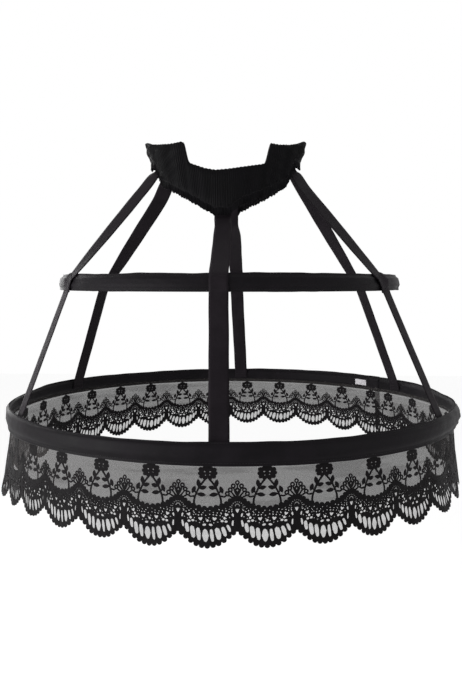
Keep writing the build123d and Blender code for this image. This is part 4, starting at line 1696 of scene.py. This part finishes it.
@dataclass
class Studio:
    """The camera, the lamps, the pale floor and the white surroundings."""

    camera_place: Triple = (0.0589, -1.1198, -0.150)
    pitch_down: float = 5.1166
    turned_left: float = 2.58
    lens: float = 37.42
    sensor: float = 36.0
    floor_height: float = -1.2
    floor_size: float = 14.0
    lit_point: Triple = (0, 0, -0.2)
    lamps: tuple[tuple[str, Triple, float, float], ...] = (
        ("left_window", (-2.0, -1.3, -0.3), 1.8, 62.0),
        ("right_window", (2.0, -1.7, -0.1), 1.4, 11.0),
        ("back_left_window", (-1.5, 1.9, 0.3), 1.4, 22.0),
    )

    def lamp(self, name: str, place: Triple, size: float, power: float) -> None:
        """Adds a square soft lamp that faces the object."""
        data = bpy.data.lights.new(name, "AREA")
        data.shape = "SQUARE"
        data.size = size
        data.energy = power
        lamp = bpy.data.objects.new(name, data)
        lamp.location = place
        lamp.rotation_euler = (Vector(self.lit_point) - Vector(place)).to_track_quat("-Z", "Y").to_euler()
        bpy.context.scene.collection.objects.link(lamp)

    def seen_directly(self, shader: Shader) -> Value:
        """1 for rays from the camera and in mirror or clear surfaces, and 0 for light."""
        path = shader.node("ShaderNodeLightPath")
        outputs = path.socket.node.outputs
        rays = ("Is Camera Ray", "Is Glossy Ray", "Is Transmission Ray")
        camera, glossy, clear = (Value(shader, outputs[name]) for name in rays)
        return (camera + glossy + clear).step(0.0, 1.0)

    def build(self) -> None:
        """Makes the studio."""
        scene = bpy.context.scene
        data = bpy.data.cameras.new("camera")
        data.lens = self.lens
        data.sensor_width = self.sensor
        camera = bpy.data.objects.new("camera", data)
        camera.location = self.camera_place
        camera.rotation_euler = (math.radians(90 - self.pitch_down), 0, math.radians(self.turned_left))
        scene.collection.objects.link(camera)
        scene.camera = camera
        scene.view_settings.view_transform = "Standard"
        self.surroundings()
        self.floor()
        for lamp in self.lamps:
            self.lamp(*lamp)

    def surroundings(self) -> None:
        """White behind the object, softer as a light on it."""
        world = bpy.data.worlds.new("surroundings")
        bpy.context.scene.world = world
        shader = Shader(world)
        seen = self.seen_directly(shader)
        strength = seen * 0.8 + 0.2
        back = shader.node("ShaderNodeBackground", None, {"Color": (1, 1, 1, 1), "Strength": strength})
        shader.node("ShaderNodeOutputWorld", None, {"Surface": back})

    def floor(self) -> None:
        """A large pale floor, white to the camera apart from the object's shadow."""
        half = self.floor_size / 2
        corners = [(-half, -half), (half, -half), (half, half), (-half, half)]
        mesh = bpy.data.meshes.new("floor")
        mesh.from_pydata([(x, y, self.floor_height) for x, y in corners], [], [(0, 1, 2, 3)])
        shader = Shader.named("pale_floor")
        seen = self.seen_directly(shader)
        speckle = shader.noise(400.0)
        lit = shader.mix(speckle, (0.8, 0.8, 0.8, 1), (0.84, 0.84, 0.84, 1))
        base = shader.mix(seen, lit, (0.3, 0.3, 0.3, 1))
        glow = shader.mix(seen, (0, 0, 0, 1), (0.88, 0.88, 0.88, 1))
        look = shader.surface(
            Base_Color=base, Roughness=0.9, Specular_IOR_Level=0.1, Emission_Color=glow, Emission_Strength=1.0
        )
        mesh.materials.append(look)
        floor = bpy.data.objects.new("floor", mesh)
        bpy.context.scene.collection.objects.link(floor)


@dataclass
class CrinolineCage:
    """The whole cage."""

    band: BandShape = field(default_factory=BandShape)

    def straps(self) -> list[Strap]:
        """The six tapes, with their angles at the lower hoop, the middle hoop and the waistband."""
        return [
            Strap("front_strap", -90.0, -90.2, -90.0, swing=2.0),
            Strap("front_left_strap", -147.2, -146.2, -172.0, 20.0, -3.8, swing=2.0, face_front=1.4),
            Strap("front_right_strap", -31.0, -34.3, -11.0, 20.0, 4.3, swing=-6.0, face_front=0.9),
            Strap("back_right_strap", 31.0, 33.1, 10.0, 20.0, -3.2, face_front=-0.9),
            Strap("back_strap", 89.3, 89.6, 86.6, swing=3.5),
            Strap("back_left_strap", 150.2, 149.0, 155.5, 8.0, 3.6, swing=6.0, face_front=-2.4),
        ]

    def casings(self) -> list[Casing]:
        """The two hoop casings."""
        middle = ((9, 0.25, 0.4), (14, 0.2, 1.3), (23, 0.22, 0.1), (37, 0.16, 2.0))
        lower = ((8, 0.3, 1.4), (15, 0.25, 0.2), (26, 0.2, 1.1), (41, 0.16, 0.3))
        middle_dips = ((-72.0, 12.0, -1.5), (-112.0, 8.0, -1.0))
        lower_dips = (
            (180.0, 15.0, 6.0), (4.0, 9.0, 3.5), (-122.0, 36.0, 3.4), (-72.0, 34.0, 1.7), (120.0, 30.0, 2.8),
        )
        return [
            Casing("middle_casing", "middle_hoop_casing", MIDDLE_HOOP, middle, dips=middle_dips),
            Casing("lower_casing", "lower_hoop_casing", LOWER_HOOP, lower, bulge=3.4, dips=lower_dips),
        ]

    def build(self, nodes: dict[str, Piece]) -> None:
        """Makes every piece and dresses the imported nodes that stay.

        Args:
            nodes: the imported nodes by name.
        """
        looks = Finishes()
        Waistband(self.band).build(looks)
        LOG.info("waistband built")
        for casing in self.casings():
            casing.build(looks)
            LOG.info("%s built", casing.name)
        for strap in self.straps():
            strap.build(self.band, looks)
            LOG.info("%s built", strap.node)
        Lace(LOWER_HOOP, LacePattern()).build(looks)
        LOG.info("lace built")
        Label(LOWER_HOOP).build(looks)
        LOG.info("label built")
        kept = {
            "middle_hoop_bone": looks.bone,
            "lower_hoop_bone": looks.bone,
            "middle_bone_sleeve": looks.sleeve,
            "lower_bone_sleeve": looks.sleeve,
        }
        for name, finish in kept.items():
            node = nodes[name]
            if not node.material_slots:
                node.data.materials.append(finish)
            for held in node.material_slots:
                held.material = finish
            LOG.info("%s dressed", name)


def corners(box: tuple[Vector, Vector]) -> list[list[float]]:
    """A box's lowest and highest corner as plain lists."""
    return [list(corner) for corner in box]


def main() -> None:
    """Builds the cage in its frame."""
    logging.basicConfig(level=logging.INFO, format="%(message)s")
    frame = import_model()
    CrinolineCage().build(frame["nodes"])
    Studio().build()


if __name__ == "__main__":
    main()
